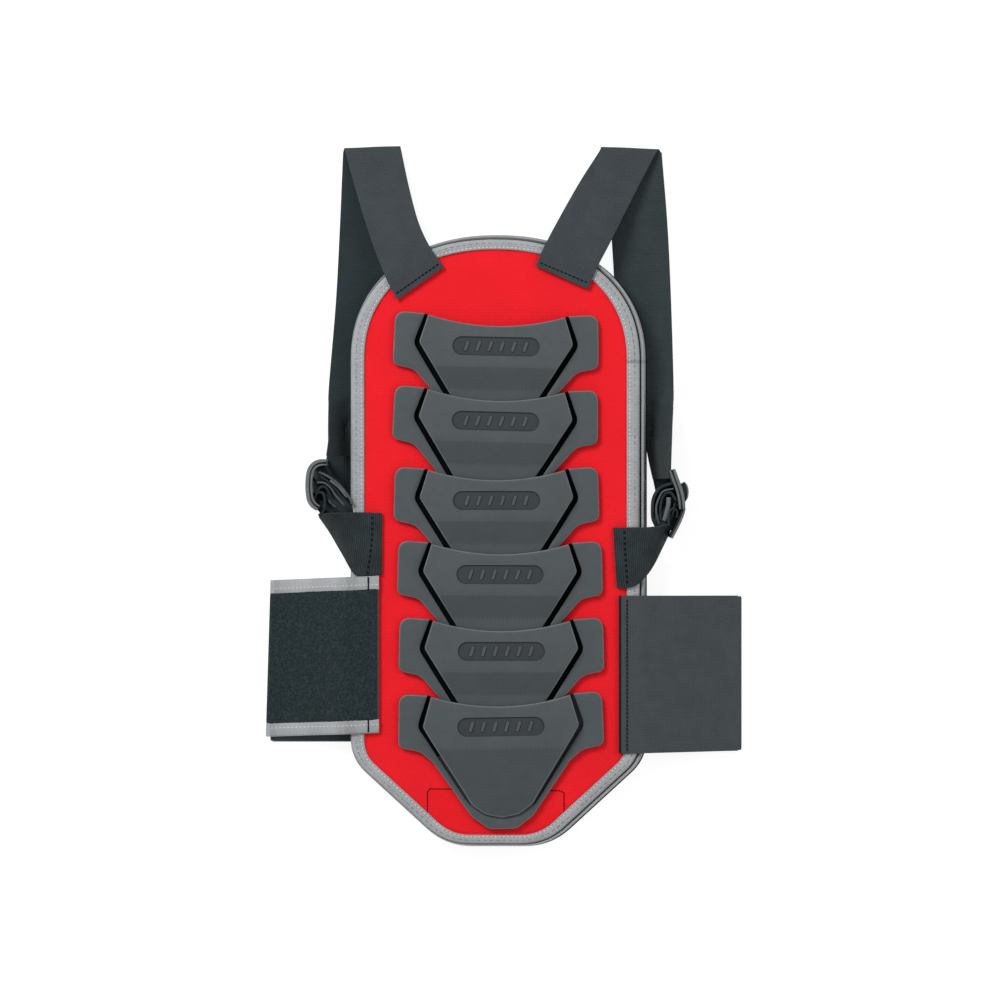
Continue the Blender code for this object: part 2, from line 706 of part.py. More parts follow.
def build():
    build_skins()
    groups = {number: build_segment(number) for number in range(1, PLATE_COUNT + 1)}
    for number, plate in enumerate(build_plates(), 1):
        groups[number].append(plate)
    for (number, _), anchor in build_anchors().items():
        groups[number].append(anchor)
    for side_name in SIDES:
        groups[1].append(build_front_strap(side_name))
        fold = hang([build_rear_strap(side_name)], f"strap_fold_{side_name}", (0, *STRAP_FOLD))
        groups[1].append(fold)
        tab = build_tab(side_name)
        x, y = pivot_place(side_name)
        pivot = hang(build_buckle(side_name), f"buckle_pivot_{side_name}", (x, y, sum(BUCKLE_Z) / 2))
        groups[4] += [tab, pivot]
        groups[ROOT_SEGMENT] += build_belt_half(side_name)
        fold_x = PAD_X + SIDES[side_name] * BELT[side_name]["fold"]
        flap = build_belt_flap(side_name)
        hang(flap, f"belt_fold_{side_name}", (fold_x, -136, FLAP_HINGE_Z))
    inner_pivot = None
    for number in range(1, ROOT_SEGMENT):
        moving = groups[number] + ([inner_pivot] if inner_pivot else [])
        inner_pivot = hang(moving, f"spine_{number}", (PAD_X, hinge_y(number), HINGE_Z))
    last_hinge = (PAD_X, hinge_y(ROOT_SEGMENT), HINGE_Z)
    hang(groups[PLATE_COUNT], f"spine_{PLATE_COUNT}", last_hinge)


build()
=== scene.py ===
"""The back protector's looks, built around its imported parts.

Lengths are in millimetres and are scaled to metres where the meshes are made. The protector lies on its
back: +Z points out of the plates and +Y to the shoulders.
"""
import itertools
import json
import math

import bmesh
import bpy
import numpy as np
from mathutils import Matrix, Vector, noise
from mathutils.geometry import delaunay_2d_cdt
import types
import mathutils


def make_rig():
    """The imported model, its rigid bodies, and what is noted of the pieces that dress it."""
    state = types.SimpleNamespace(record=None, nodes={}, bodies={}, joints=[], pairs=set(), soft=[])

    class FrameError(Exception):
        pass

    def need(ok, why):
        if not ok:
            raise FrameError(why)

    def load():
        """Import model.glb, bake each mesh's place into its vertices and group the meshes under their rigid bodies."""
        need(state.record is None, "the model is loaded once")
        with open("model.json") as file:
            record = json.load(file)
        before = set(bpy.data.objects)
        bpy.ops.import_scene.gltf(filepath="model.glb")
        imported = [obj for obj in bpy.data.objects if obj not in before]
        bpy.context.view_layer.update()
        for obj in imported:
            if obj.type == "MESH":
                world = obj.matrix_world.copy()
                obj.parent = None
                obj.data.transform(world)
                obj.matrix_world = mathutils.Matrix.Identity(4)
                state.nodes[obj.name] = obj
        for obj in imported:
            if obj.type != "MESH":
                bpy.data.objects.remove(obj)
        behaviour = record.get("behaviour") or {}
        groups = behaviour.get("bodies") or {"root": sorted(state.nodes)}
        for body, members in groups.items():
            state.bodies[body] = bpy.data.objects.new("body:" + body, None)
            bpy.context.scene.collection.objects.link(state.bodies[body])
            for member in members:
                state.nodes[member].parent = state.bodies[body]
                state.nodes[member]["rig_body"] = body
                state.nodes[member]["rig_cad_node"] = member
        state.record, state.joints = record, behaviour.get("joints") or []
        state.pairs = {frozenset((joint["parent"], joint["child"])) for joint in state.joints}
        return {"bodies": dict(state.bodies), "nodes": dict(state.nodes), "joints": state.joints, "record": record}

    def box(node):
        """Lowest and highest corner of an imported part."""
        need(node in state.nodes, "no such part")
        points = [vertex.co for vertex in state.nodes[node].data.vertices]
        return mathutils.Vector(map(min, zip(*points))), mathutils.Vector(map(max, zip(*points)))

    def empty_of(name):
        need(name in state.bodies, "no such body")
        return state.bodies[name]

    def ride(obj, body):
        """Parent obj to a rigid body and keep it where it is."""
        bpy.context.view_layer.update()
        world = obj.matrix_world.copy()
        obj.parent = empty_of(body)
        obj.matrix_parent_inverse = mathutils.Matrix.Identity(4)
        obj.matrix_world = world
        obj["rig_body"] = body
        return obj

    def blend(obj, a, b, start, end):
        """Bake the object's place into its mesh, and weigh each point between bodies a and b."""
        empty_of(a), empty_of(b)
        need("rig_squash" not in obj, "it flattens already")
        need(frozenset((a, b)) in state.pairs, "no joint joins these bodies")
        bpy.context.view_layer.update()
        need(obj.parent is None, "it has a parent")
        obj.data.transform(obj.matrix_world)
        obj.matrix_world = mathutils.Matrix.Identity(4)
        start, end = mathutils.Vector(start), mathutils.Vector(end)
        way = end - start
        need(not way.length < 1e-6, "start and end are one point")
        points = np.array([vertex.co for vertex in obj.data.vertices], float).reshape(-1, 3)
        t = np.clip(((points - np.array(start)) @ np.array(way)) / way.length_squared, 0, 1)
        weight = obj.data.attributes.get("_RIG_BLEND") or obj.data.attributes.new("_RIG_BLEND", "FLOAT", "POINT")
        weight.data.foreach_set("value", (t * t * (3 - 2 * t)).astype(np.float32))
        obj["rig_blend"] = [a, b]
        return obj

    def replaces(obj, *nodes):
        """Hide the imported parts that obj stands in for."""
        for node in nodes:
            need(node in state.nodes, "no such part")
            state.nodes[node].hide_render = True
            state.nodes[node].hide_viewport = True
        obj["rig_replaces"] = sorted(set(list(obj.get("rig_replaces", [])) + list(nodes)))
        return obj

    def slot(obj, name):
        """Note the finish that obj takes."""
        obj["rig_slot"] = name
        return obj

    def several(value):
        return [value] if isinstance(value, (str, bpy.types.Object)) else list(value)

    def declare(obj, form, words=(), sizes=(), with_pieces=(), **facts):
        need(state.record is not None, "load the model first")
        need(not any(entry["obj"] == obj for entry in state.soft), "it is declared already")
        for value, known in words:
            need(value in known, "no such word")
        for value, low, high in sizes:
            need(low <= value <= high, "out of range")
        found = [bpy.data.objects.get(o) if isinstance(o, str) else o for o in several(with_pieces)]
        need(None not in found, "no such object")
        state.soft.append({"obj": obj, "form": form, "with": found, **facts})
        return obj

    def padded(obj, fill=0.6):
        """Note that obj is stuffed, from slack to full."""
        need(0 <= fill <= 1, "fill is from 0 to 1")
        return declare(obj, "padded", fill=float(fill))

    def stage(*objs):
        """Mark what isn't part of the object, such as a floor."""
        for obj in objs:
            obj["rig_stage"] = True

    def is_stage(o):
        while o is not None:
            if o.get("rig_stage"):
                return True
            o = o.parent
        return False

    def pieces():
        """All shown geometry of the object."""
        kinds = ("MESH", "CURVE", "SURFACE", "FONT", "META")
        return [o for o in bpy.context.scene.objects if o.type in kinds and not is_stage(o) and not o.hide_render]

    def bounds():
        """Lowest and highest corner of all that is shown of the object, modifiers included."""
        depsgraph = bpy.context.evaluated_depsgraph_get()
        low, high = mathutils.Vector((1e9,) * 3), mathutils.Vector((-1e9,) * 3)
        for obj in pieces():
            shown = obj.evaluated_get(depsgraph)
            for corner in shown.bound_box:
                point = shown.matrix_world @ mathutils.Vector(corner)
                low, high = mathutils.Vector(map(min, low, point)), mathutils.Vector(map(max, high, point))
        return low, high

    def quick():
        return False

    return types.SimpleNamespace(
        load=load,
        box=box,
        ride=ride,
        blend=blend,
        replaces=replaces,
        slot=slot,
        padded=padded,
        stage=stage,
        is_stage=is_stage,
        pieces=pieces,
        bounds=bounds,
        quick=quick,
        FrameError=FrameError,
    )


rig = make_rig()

MM = 0.001
TINY = 1e-9
UV = "cloth"
OBJECT_OUTPUT = 3  # of the texture coordinate node
SIDES = {"left": -1, "right": 1}

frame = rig.load()
CAD_BOX = [list(corner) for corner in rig.bounds()]


def box_mm(node):
    low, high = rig.box(node)
    return np.array(low) / MM, np.array(high) / MM


# Node materials -----------------------------------------------------------------------------------------


class Shader:
    """A principled material and short calls to add nodes to it."""

    def __init__(self, name, roughness, sheen=0.0, specular=0.5, sheen_roughness=0.5):
        self.material = bpy.data.materials.new(name)
        self.material.use_nodes = True
        self.tree = self.material.node_tree
        self.out = self.tree.nodes["Principled BSDF"]
        self.out.inputs["Roughness"].default_value = roughness
        self.out.inputs["Specular IOR Level"].default_value = specular
        self.out.inputs["Sheen Weight"].default_value = sheen
        self.out.inputs["Sheen Roughness"].default_value = sheen_roughness

    def node(self, kind, inputs, output=0, **settings):
        made = self.tree.nodes.new(kind)
        for key, value in settings.items():
            setattr(made, key, value)
        for key, value in inputs.items():
            if isinstance(value, bpy.types.NodeSocket):
                self.tree.links.new(value, made.inputs[key])
            else:
                made.inputs[key].default_value = value
        return made.outputs[output]

    def math(self, operation, a, b=0.0):
        return self.node("ShaderNodeMath", {0: a, 1: b}, operation=operation)

    def cloth(self):
        """The piece's own flat coordinates in millimetres, across and along."""
        flat = self.node("ShaderNodeUVMap", {}, uv_map=UV)
        split = self.tree.nodes.new("ShaderNodeSeparateXYZ")
        self.tree.links.new(flat, split.inputs[0])
        return flat, split.outputs[0], split.outputs[1]

    def wave(self, coordinate, pitch):
        return self.math("SINE", self.math("MULTIPLY", coordinate, 2 * math.pi / pitch))

    def noise(self, vector, scale, detail=3.0, roughness=0.6):
        inputs = {"Vector": vector, "Scale": scale, "Detail": detail, "Roughness": roughness}
        return self.node("ShaderNodeTexNoise", inputs)

    def ramp(self, factor, stops):
        made = self.tree.nodes.new("ShaderNodeValToRGB")
        self.tree.links.new(factor, made.inputs[0])
        while len(made.color_ramp.elements) < len(stops):
            made.color_ramp.elements.new(0.5)
        for element, (place, colour) in zip(made.color_ramp.elements, stops):
            element.position = place
            element.color = (*colour, 1)
        return made.outputs[0]

    def finish(self, colour=None, height=None, depth=0.0001, strength=1.0, roughness=None):
        if colour is not None:
            self.tree.links.new(colour, self.out.inputs["Base Color"])
        if roughness is not None:
            self.tree.links.new(roughness, self.out.inputs["Roughness"])
        if height is not None:
            settings = {"Height": height, "Distance": depth, "Strength": strength}
            self.tree.links.new(self.node("ShaderNodeBump", settings), self.out.inputs["Normal"])
        return self.material


def shade(colour, factor):
    """A lighter or darker colour."""
    return tuple(min(1.0, channel * factor) for channel in colour)


def object_space(shader):
    return shader.node("ShaderNodeTexCoord", {}, output=OBJECT_OUTPUT)


def woven(name, colour, across, along, roughness=0.85, sheen=0.04, contrast=0.22, depth=0.00025):
    """Webbing or tape: ribs across it, broken up by the warp along it, with uneven yarn."""
    s = Shader(name, roughness, sheen, specular=0.12)
    flat, u, v = s.cloth()
    jitter = s.math("MULTIPLY", s.noise(flat, 0.35, 2.0), 1.6)
    ribs = s.wave(s.math("ADD", v, jitter), along)
    warp = s.wave(u, across)
    weave = s.math("MULTIPLY", s.math("ADD", ribs, s.math("MULTIPLY", warp, 0.6)), 0.5)
    grain = s.noise(flat, 1.3, 4.0, 0.75)
    cloudy = s.noise(flat, 0.06, 3.0, 0.6)
    mixed = s.math("ADD", s.math("MULTIPLY", weave, 0.30), s.math("MULTIPLY", grain, 0.9))
    mixed = s.math("ADD", mixed, s.math("MULTIPLY", cloudy, 0.5))
    low, high = shade(colour, 1 - contrast), shade(colour, 1 + contrast)
    tint = s.ramp(mixed, [(0.35, low), (1.05 / 1.1, high)])
    height = s.math("ADD", weave, s.math("MULTIPLY", grain, 0.8))
    return s.finish(tint, height, depth, 0.8)


def red_knit(name, colour):
    """Fine diagonal mesh fabric."""
    s = Shader(name, 0.8, 0.02, specular=0.08)
    flat, u, v = s.cloth()
    one = s.wave(s.math("ADD", u, v), 2.3)
    two = s.wave(s.math("SUBTRACT", u, v), 2.3)
    knit = s.math("MULTIPLY", one, two)
    grain = s.noise(flat, 0.9, 4.0, 0.7)
    cloudy = s.noise(flat, 0.018, 2.0)
    mixed = s.math("ADD", s.math("MULTIPLY", knit, 0.16), s.math("MULTIPLY", cloudy, 0.8))
    mixed = s.math("ADD", mixed, s.math("MULTIPLY", grain, 0.35))
    tint = s.ramp(mixed, [(0.25, shade(colour, 0.90)), (0.85, shade(colour, 1.06))])
    return s.finish(tint, s.math("ADD", knit, grain), 0.00018, 0.7)


def pile(name, colour, size=0.55, contrast=0.55, depth=0.0006):
    """Brushed loop pile: short tangled loops."""
    s = Shader(name, 1.0, 0.06, specular=0.06)
    flat, _, _ = s.cloth()
    loops = s.node("ShaderNodeTexVoronoi", {"Vector": flat, "Scale": size})
    tangle = s.noise(flat, 0.75, 5.0, 0.8)
    mixed = s.math("ADD", s.math("MULTIPLY", loops, 0.45), s.math("MULTIPLY", tangle, 0.9))
    low, high = shade(colour, 1 - contrast), shade(colour, 1 + contrast * 1.6)
    tint = s.ramp(mixed, [(0.38, low), (0.62, colour), (0.95, high)])
    return s.finish(tint, mixed, depth, 1.0)


def spacer_mesh(name, colour):
    """Black spacer mesh with rows of small openings."""
    s = Shader(name, 0.9, 0.03, specular=0.15)
    flat, u, v = s.cloth()
    holes = s.math("MULTIPLY", s.wave(u, 3.2), s.wave(v, 4.4))
    grain = s.noise(flat, 1.2, 3.0)
    mixed = s.math("ADD", s.math("MULTIPLY", holes, 0.5), s.math("MULTIPLY", grain, 0.4))
    tint = s.ramp(mixed, [(0.0, shade(colour, 1.5)), (0.6, shade(colour, 0.35))])
    return s.finish(tint, s.math("MULTIPLY", holes, -1.0), 0.0005, 0.9)


def plastic(name, colour, roughness, grain=900.0, contrast=0.10, depth=0.00008, specular=0.28):
    """Moulded plastic: fine spark-eroded grain, faint clouding and small scuffs."""
    s = Shader(name, roughness, specular=specular)
    place = object_space(s)
    fine = s.noise(place, grain, 3.0, 0.6)
    clouds = s.noise(place, 35.0, 4.0, 0.65)
    scuffs = s.noise(place, 140.0, 6.0, 0.8)
    mixed = s.math("ADD", s.math("MULTIPLY", clouds, 0.6), s.math("MULTIPLY", scuffs, 0.4))
    tint = s.ramp(mixed, [(0.3, shade(colour, 1 - contrast)), (0.7, shade(colour, 1 + contrast))])
    polish = s.ramp(scuffs, [(0.3, (roughness - 0.08,) * 3), (0.7, (roughness + 0.10,) * 3)])
    return s.finish(tint, fine, depth, 0.5, polish)


def thread(name, colour):
    s = Shader(name, 0.8, 0.0, specular=0.12)
    twist = s.noise(object_space(s), 1800.0, 2.0)
    tint = s.ramp(twist, [(0.3, shade(colour, 0.75)), (0.7, shade(colour, 1.15))])
    return s.finish(tint, twist, 0.0001, 0.6)


MATERIALS = {
    "red": red_knit("red_fabric", (0.715, 0.011, 0.018)),
    "pocket": red_knit("pocket_fabric", (0.70, 0.010, 0.016)),
    "plate": plastic("plate_plastic", (0.052, 0.061, 0.067), 0.5),
    # a darker copy of the plate plastic: painted shade on the ridge's lower slope, below its crease
    "plate_slope": plastic("plate_slope", (0.041, 0.049, 0.054), 0.5),
    # lighter, glossier plastic: painted highlight along the plates' rims and the ridge's bevel by the groove
    "plate_edge": plastic("plate_edge", (0.115, 0.128, 0.135), 0.42),
    # near black: painted shade in the groove between the ridge and the wings
    "plate_groove": plastic("plate_groove", (0.0015, 0.003, 0.003), 0.9, specular=0.05),
    # dark grey: a softer painted shade in the last plate's groove, and the right buckle knob's core
    "plate_step": plastic("plate_step", (0.016, 0.020, 0.022), 0.6, specular=0.2),
    # darker plastic: painted shade on the floor of the ribbed recess
    "plate_recess": plastic("plate_recess", (0.024, 0.030, 0.033), 0.6),
    "stake": plastic("stake_head", (0.10, 0.115, 0.12), 0.45),
    "webbing": woven("strap_webbing", (0.037, 0.045, 0.050), 1.1, 1.5, contrast=0.30),
    # darker copies of the strap webbing: painted shade on the rear straps, the front straps' undersides, the turns in
    # the buckles, the folds and the flat return; the right rear strap's copy is a lighter painted shade
    "painted_shade_webbing": woven("painted_shade_webbing", (0.0195, 0.028, 0.031), 1.1, 1.5, contrast=0.30),
    "painted_shade_webbing_right": woven("painted_shade_webbing_right", (0.0270, 0.0360, 0.0390), 1.1, 1.5, contrast=0.30),
    "tab": woven("tab_webbing", (0.020, 0.027, 0.029), 0.9, 1.7, contrast=0.75, depth=0.0004),
    # light grey webbing: painted light on the edges of the strap's turns in the buckles
    "webbing_painted_light": woven("webbing_painted_light", (0.085, 0.095, 0.100), 0.9, 1.5, contrast=0.3),
    "silver": woven("silver_tape", (0.305, 0.315, 0.325), 0.8, 1.2, 0.6, 0.05, 0.30),
    "rear_silver": woven("rear_silver_tape", (0.27, 0.28, 0.29), 0.8, 1.2, 0.6, 0.05, 0.25),
    # mid grey: the seam stitching on the front tape, and a painted highlight streak on the strap's turns in each
    # buckle
    "seam_grey_and_painted_highlight": woven("seam_grey_and_painted_highlight", (0.13, 0.14, 0.15), 0.8, 1.2, 0.6, 0.05, 0.25),
    "mesh": spacer_mesh("spacer_mesh", (0.012, 0.016, 0.017)),
    "gusset": woven("gusset_fabric", (0.006, 0.010, 0.011), 1.2, 1.6, contrast=0.3, sheen=0.02),
    "pile": pile("loop_pile", (0.0145, 0.0215, 0.0235)),
    "hook": pile("hook_patch", (0.022, 0.026, 0.028), 0.9, 0.7),
    "elastic": woven("belt_elastic", (0.047, 0.055, 0.060), 1.6, 1.1, contrast=0.26),
    "foam": pile("foam", (0.25, 0.25, 0.26), 1.1, 0.1, 0.0003),
    "buckle": plastic("buckle_plastic", (0.105, 0.115, 0.120), 0.35, 500.0),
    # near black: painted shade in the slot along each buckle frame and beside the right buckle's lever
    "buckle_core": plastic("buckle_core", (0.006, 0.008, 0.008), 0.6),
    "light_thread": thread("light_thread", (0.55, 0.56, 0.56)),
    "dark_thread": thread("dark_thread", (0.003, 0.005, 0.006)),
    "red_thread": thread("seam_thread", (0.030, 0.004, 0.005)),
}
SLOTS = {  # the part's material slot for each look, where a piece starts with that look
    "red": "red_fabric", "pocket": "red_fabric", "plate": "plate_plastic", "stake": "plate_plastic",
    "webbing": "webbing", "painted_shade_webbing": "webbing", "painted_shade_webbing_right": "webbing", "tab": "webbing",
    "silver": "silver_tape", "rear_silver": "silver_tape", "mesh": "dark_mesh", "gusset": "dark_mesh",
    "pile": "loop_pile", "hook": "loop_pile", "elastic": "elastic", "foam": "foam",
    "buckle": "buckle_plastic",
}


# Meshes -------------------------------------------------------------------------------------------------


class Shape:
    """Vertices, flat coordinates, faces and their materials, collected before an object is made."""

    def __init__(self):
        self.points, self.flat, self.faces, self.looks = [], [], [], []

    def add(self, points, faces, look, flat=None):
        start = len(self.points)
        self.points += [tuple(p) for p in points]
        self.flat += [tuple(p[:2]) for p in (points if flat is None else flat)]
        self.faces += [tuple(start + i for i in face) for face in faces]
        looks = [look] * len(faces) if isinstance(look, str) else list(look)
        self.looks += looks
        return self

    def object(self, name, sharp=38):
        """The mesh object, with its edges sharp where they turn by more than that many degrees."""
        mesh = bpy.data.meshes.new(name)
        mesh.from_pydata([tuple(c * MM for c in p) for p in self.points], [], self.faces)
        order = list(dict.fromkeys(self.looks))
        for look in order:
            mesh.materials.append(MATERIALS[look])
        mesh.polygons.foreach_set("material_index", [order.index(look) for look in self.looks])
        layer = mesh.uv_layers.new(name=UV)
        corners = np.zeros(len(mesh.loops), int)
        mesh.loops.foreach_get("vertex_index", corners)
        layer.data.foreach_set("uv", np.array(self.flat, np.float32)[corners].ravel())
        mesh.validate()
        working = bmesh.new()
        working.from_mesh(mesh)
        bmesh.ops.recalc_face_normals(working, faces=working.faces)
        working.to_mesh(mesh)
        working.free()
        mesh.shade_smooth()
        mesh.set_sharp_from_angle(angle=math.radians(sharp))
        made = bpy.data.objects.new(name, mesh)
        bpy.context.scene.collection.objects.link(made)
        if order[0] in SLOTS:
            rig.slot(made, SLOTS[order[0]])
        return made


def fit(shape, name, body, node=None, sharp=38):
    """The shape's object, standing for a CAD node if one is named, on a body."""
    made = shape.object(name, sharp)
    if node:
        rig.replaces(made, node)
    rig.ride(made, body)
    return made


def at_height(z):
    """A level height for the flat points of a slab."""
    return lambda points: np.full(len(points), z)


def unit(vectors):
    return vectors / (np.linalg.norm(vectors, axis=1)[:, None] + TINY)


def run_along(line):
    """How far along a line each of its points is."""
    return np.concatenate([[0], np.cumsum(np.linalg.norm(np.diff(line, axis=0), axis=1))])


def places(at, run, line):
    """The points of a line at distances along it."""
    return np.stack([np.interp(at, run, line[:, k]) for k in range(line.shape[1])], -1)


def resample(points, step, closed=False):
    """Points along a line, each stretch cut into equal steps no longer than step."""
    points = [np.array(p, float) for p in points]
    ends = points[1:] + points[:1] if closed else points[1:]
    made = []
    for here, after in zip(points, ends):
        count = max(1, math.ceil(np.linalg.norm(after - here) / step))
        made += [here + (after - here) * i / count for i in range(count)]
    return np.array(made if closed else made + [points[-1]])


def even(points, step, closed=False):
    """Points at an even distance along a line."""
    points = np.array(points, float)
    if closed:
        points = np.vstack([points, points[:1]])
    run = run_along(points)
    count = max(2, round(run[-1] / step))
    made = places(np.linspace(0, run[-1], count + 1), run, points)
    return made[:-1] if closed else made


def spline(points, steps):
    """A smooth curve through points, with steps points to each stretch."""
    p = np.array(points, float)
    p = np.vstack([2 * p[0] - p[1], p, 2 * p[-1] - p[-2]])
    made = []
    for a, b, c, d in zip(p, p[1:], p[2:], p[3:]):
        for t in np.arange(steps) / steps:
            made.append(
                0.5 * (2 * b + (c - a) * t + (2 * a - 5 * b + 4 * c - d) * t**2
                       + (3 * b - a - 3 * c + d) * t**3)
            )
    return np.array(made + [p[-2]])


def normals_of(loop):
    """Outward normals of a closed anticlockwise loop."""
    along = unit(np.roll(loop, -1, 0) - np.roll(loop, 1, 0))
    return np.stack([along[:, 1], -along[:, 0]], 1)


def rounded(corners, steps=8):
    """Points of a closed outline through (x, y, radius) corners."""
    points = []
    for index, (x, y, radius) in enumerate(corners):
        here = Vector((x, y))
        before = (Vector(corners[index - 1][:2]) - here).normalized()
        after = (Vector(corners[(index + 1) % len(corners)][:2]) - here).normalized()
        if radius == 0:
            points.append(tuple(here))
            continue
        run = radius / math.tan(before.angle(after) / 2)
        for step in range(steps + 1):
            t = step / steps
            points.append(tuple(here + before * run * (1 - t) ** 2 + after * run * t**2))
    return points


def distance_to(points, line, closed=False):
    """Distance from each point to a line, and how far along the line the nearest place is."""
    line = np.array(line, float)
    starts = line if closed else line[:-1]
    ends = np.roll(line, -1, 0) if closed else line[1:]
    along = ends - starts
    lengths = np.linalg.norm(along, axis=1) + TINY
    run = np.concatenate([[0], np.cumsum(lengths)[:-1]])
    best = np.full(len(points), 1e9)
    place = np.zeros(len(points))
    for start, direction, length, before in zip(starts, along, lengths, run):
        t = np.clip(((points - start) @ direction) / length**2, 0, 1)
        d = np.linalg.norm(points - start - t[:, None] * direction, axis=1)
        nearer = d < best
        best[nearer], place[nearer] = d[nearer], (before + t * length)[nearer]
    return best, place


def depth_in(points, loop):
    """How far each point is from a closed loop."""
    return distance_to(points, loop, True)[0]


def inside(points, loop):
    """Which points are inside a closed loop."""
    x, y = points[:, 0], points[:, 1]
    found = np.zeros(len(points), bool)
    for (x1, y1), (x2, y2) in zip(loop, np.roll(loop, -1, 0)):
        crosses = (y1 > y) != (y2 > y)
        if crosses.any():
            at = (x2 - x1) * (y - y1) / (y2 - y1 + 1e-12) + x1
            found ^= crosses & (x < at)
    return found


def smooth(value, low, high):
    """An eased step from 0 at low to 1 at high."""
    t = np.clip((value - low) / (high - low), 0, 1)
    return t * t * (3 - 2 * t)


def triangulate(loop, lines, spacing, clear=1.0):
    """Triangles that fill a loop, with edges along the given (points, closed) lines."""
    verts, edges = [], []
    for points, closed in [(loop, True)] + lines:
        start = len(verts)
        verts += [Vector(p) for p in points]
        count = len(points)
        edges += [(start + i, start + (i + 1) % count) for i in range(count if closed else count - 1)]
    low, high = loop.min(0), loop.max(0)
    xs = np.arange(low[0] + spacing / 2, high[0], spacing)
    ys = np.arange(low[1] + spacing / 2, high[1], spacing * 0.87)  # rows of near equilateral triangles
    grid = np.array([(x + (spacing / 2 if j % 2 else 0), y) for j, y in enumerate(ys) for x in xs])
    grid = grid[inside(grid, loop)]
    used = np.array([tuple(v) for v in verts])
    near = np.array([np.min(np.sum((used - g) ** 2, 1)) for g in grid])
    verts += [Vector(g) for g in grid[near > clear**2]]
    done = delaunay_2d_cdt(verts, edges, [], 0, 1e-4)
    points = np.array([tuple(v) for v in done[0]])
    faces = np.array(done[2])
    middles = points[faces].mean(1)
    faces = faces[inside(middles, loop)]
    a, b, c = (points[faces[:, k]] for k in range(3))
    area = (b - a)[:, 0] * (c - a)[:, 1] - (b - a)[:, 1] * (c - a)[:, 0]
    faces[area < 0] = faces[area < 0][:, ::-1]
    faces = faces[np.abs(area) > 1e-5]
    used = np.unique(faces)
    renumber = np.full(len(points), -1)
    renumber[used] = np.arange(len(used))
    return points[used], renumber[faces]


def slab(shape, loop, lines, spacing, top, bottom, look, look_of=None, under=None, clear=1.0):
    """A closed solid over a loop, between two heights that are functions of the flat points."""
    flat, faces = triangulate(loop, lines, spacing, clear)
    count = len(flat)
    points = np.vstack([np.column_stack([flat, top(flat)]), np.column_stack([flat, bottom(flat)])])
    seen = {}
    for a, b, c in faces:
        for edge in ((a, b), (b, c), (c, a)):
            seen[edge] = seen.get(edge, 0) + 1
    walls = [(a, a + count, b + count, b) for a, b in seen if (b, a) not in seen]
    looks = [look] * len(faces) if look_of is None else look_of(flat[faces].mean(1))
    under = under or look
    shape.add(
        points,
        [tuple(f) for f in faces] + [(c + count, b + count, a + count) for a, b, c in faces] + walls,
        list(looks) + [under] * len(faces) + [look] * len(walls),
        np.vstack([flat, flat]),
    )
    return shape


def ring(shape, rows, look):
    """A closed band through rows of points, each row a closed loop with the same number of points."""
    rows = np.array(rows)
    count, size = rows.shape[:2]
    around, across = run_along(rows[0]), run_along(rows[:, 0])
    flat = np.array([(across[r], around[i]) for r in range(count) for i in range(size)])
    faces = []
    for r in range(count):
        for i in range(size):
            j, q = (i + 1) % size, (r + 1) % count
            faces.append((r * size + i, r * size + j, q * size + j, q * size + i))
    return shape.add(rows.reshape(-1, 3), faces, look, flat)


# Rings of a stitch: place along it, size and drop, as shares of its length, radius and radius
THREAD_RINGS = ((-0.5, 0.35, -0.5), (-0.3, 1.0, 0.0), (0.3, 1.0, 0.0), (0.5, 0.35, -0.5))
THREAD_SIDES = 6


def stitch(shape, centre, along, up, length, radius, look):
    """One raised stitch, whose ends dip into the cloth."""
    along = np.array(along, float) / (np.linalg.norm(along) + TINY)
    up = np.array(up, float) - along * np.dot(up, along)
    up /= np.linalg.norm(up) + TINY
    side = np.cross(up, along)
    points = []
    for place, size, drop in THREAD_RINGS:
        middle = np.array(centre) + along * length * place + up * drop * radius
        for k in range(THREAD_SIDES):
            angle = 2 * math.pi * k / THREAD_SIDES
            points.append(middle + (side * math.cos(angle) + up * math.sin(angle)) * radius * size)
    faces = []
    for r in range(len(THREAD_RINGS) - 1):
        for k in range(THREAD_SIDES):
            here, after = THREAD_SIDES * r, THREAD_SIDES * (r + 1)
            j = (k + 1) % THREAD_SIDES
            faces.append((here + k, after + k, after + j, here + j))
    caps = [tuple(range(THREAD_SIDES)), tuple(range(len(points) - 1, len(points) - 1 - THREAD_SIDES, -1))]
    shape.add(points, faces + caps, look)


def stitch_row(shape, path, up, pitch, length, radius, look):
    """Stitches along a path of points; up is one direction, or one for each point of the path."""
    path = np.array(path, float)
    run = run_along(path)
    ups = np.broadcast_to(np.array(up, float), path.shape)
    for at in np.arange(pitch * 0.5, run[-1], pitch):
        ahead = places(at + 0.5, run, path) - places(at - 0.5, run, path)
        stitch(shape, places(at, run, path), ahead, places(at, run, ups), length, radius, look)


SELVEDGE = 0.014  # share of a ribbon's width where it thins to its edge


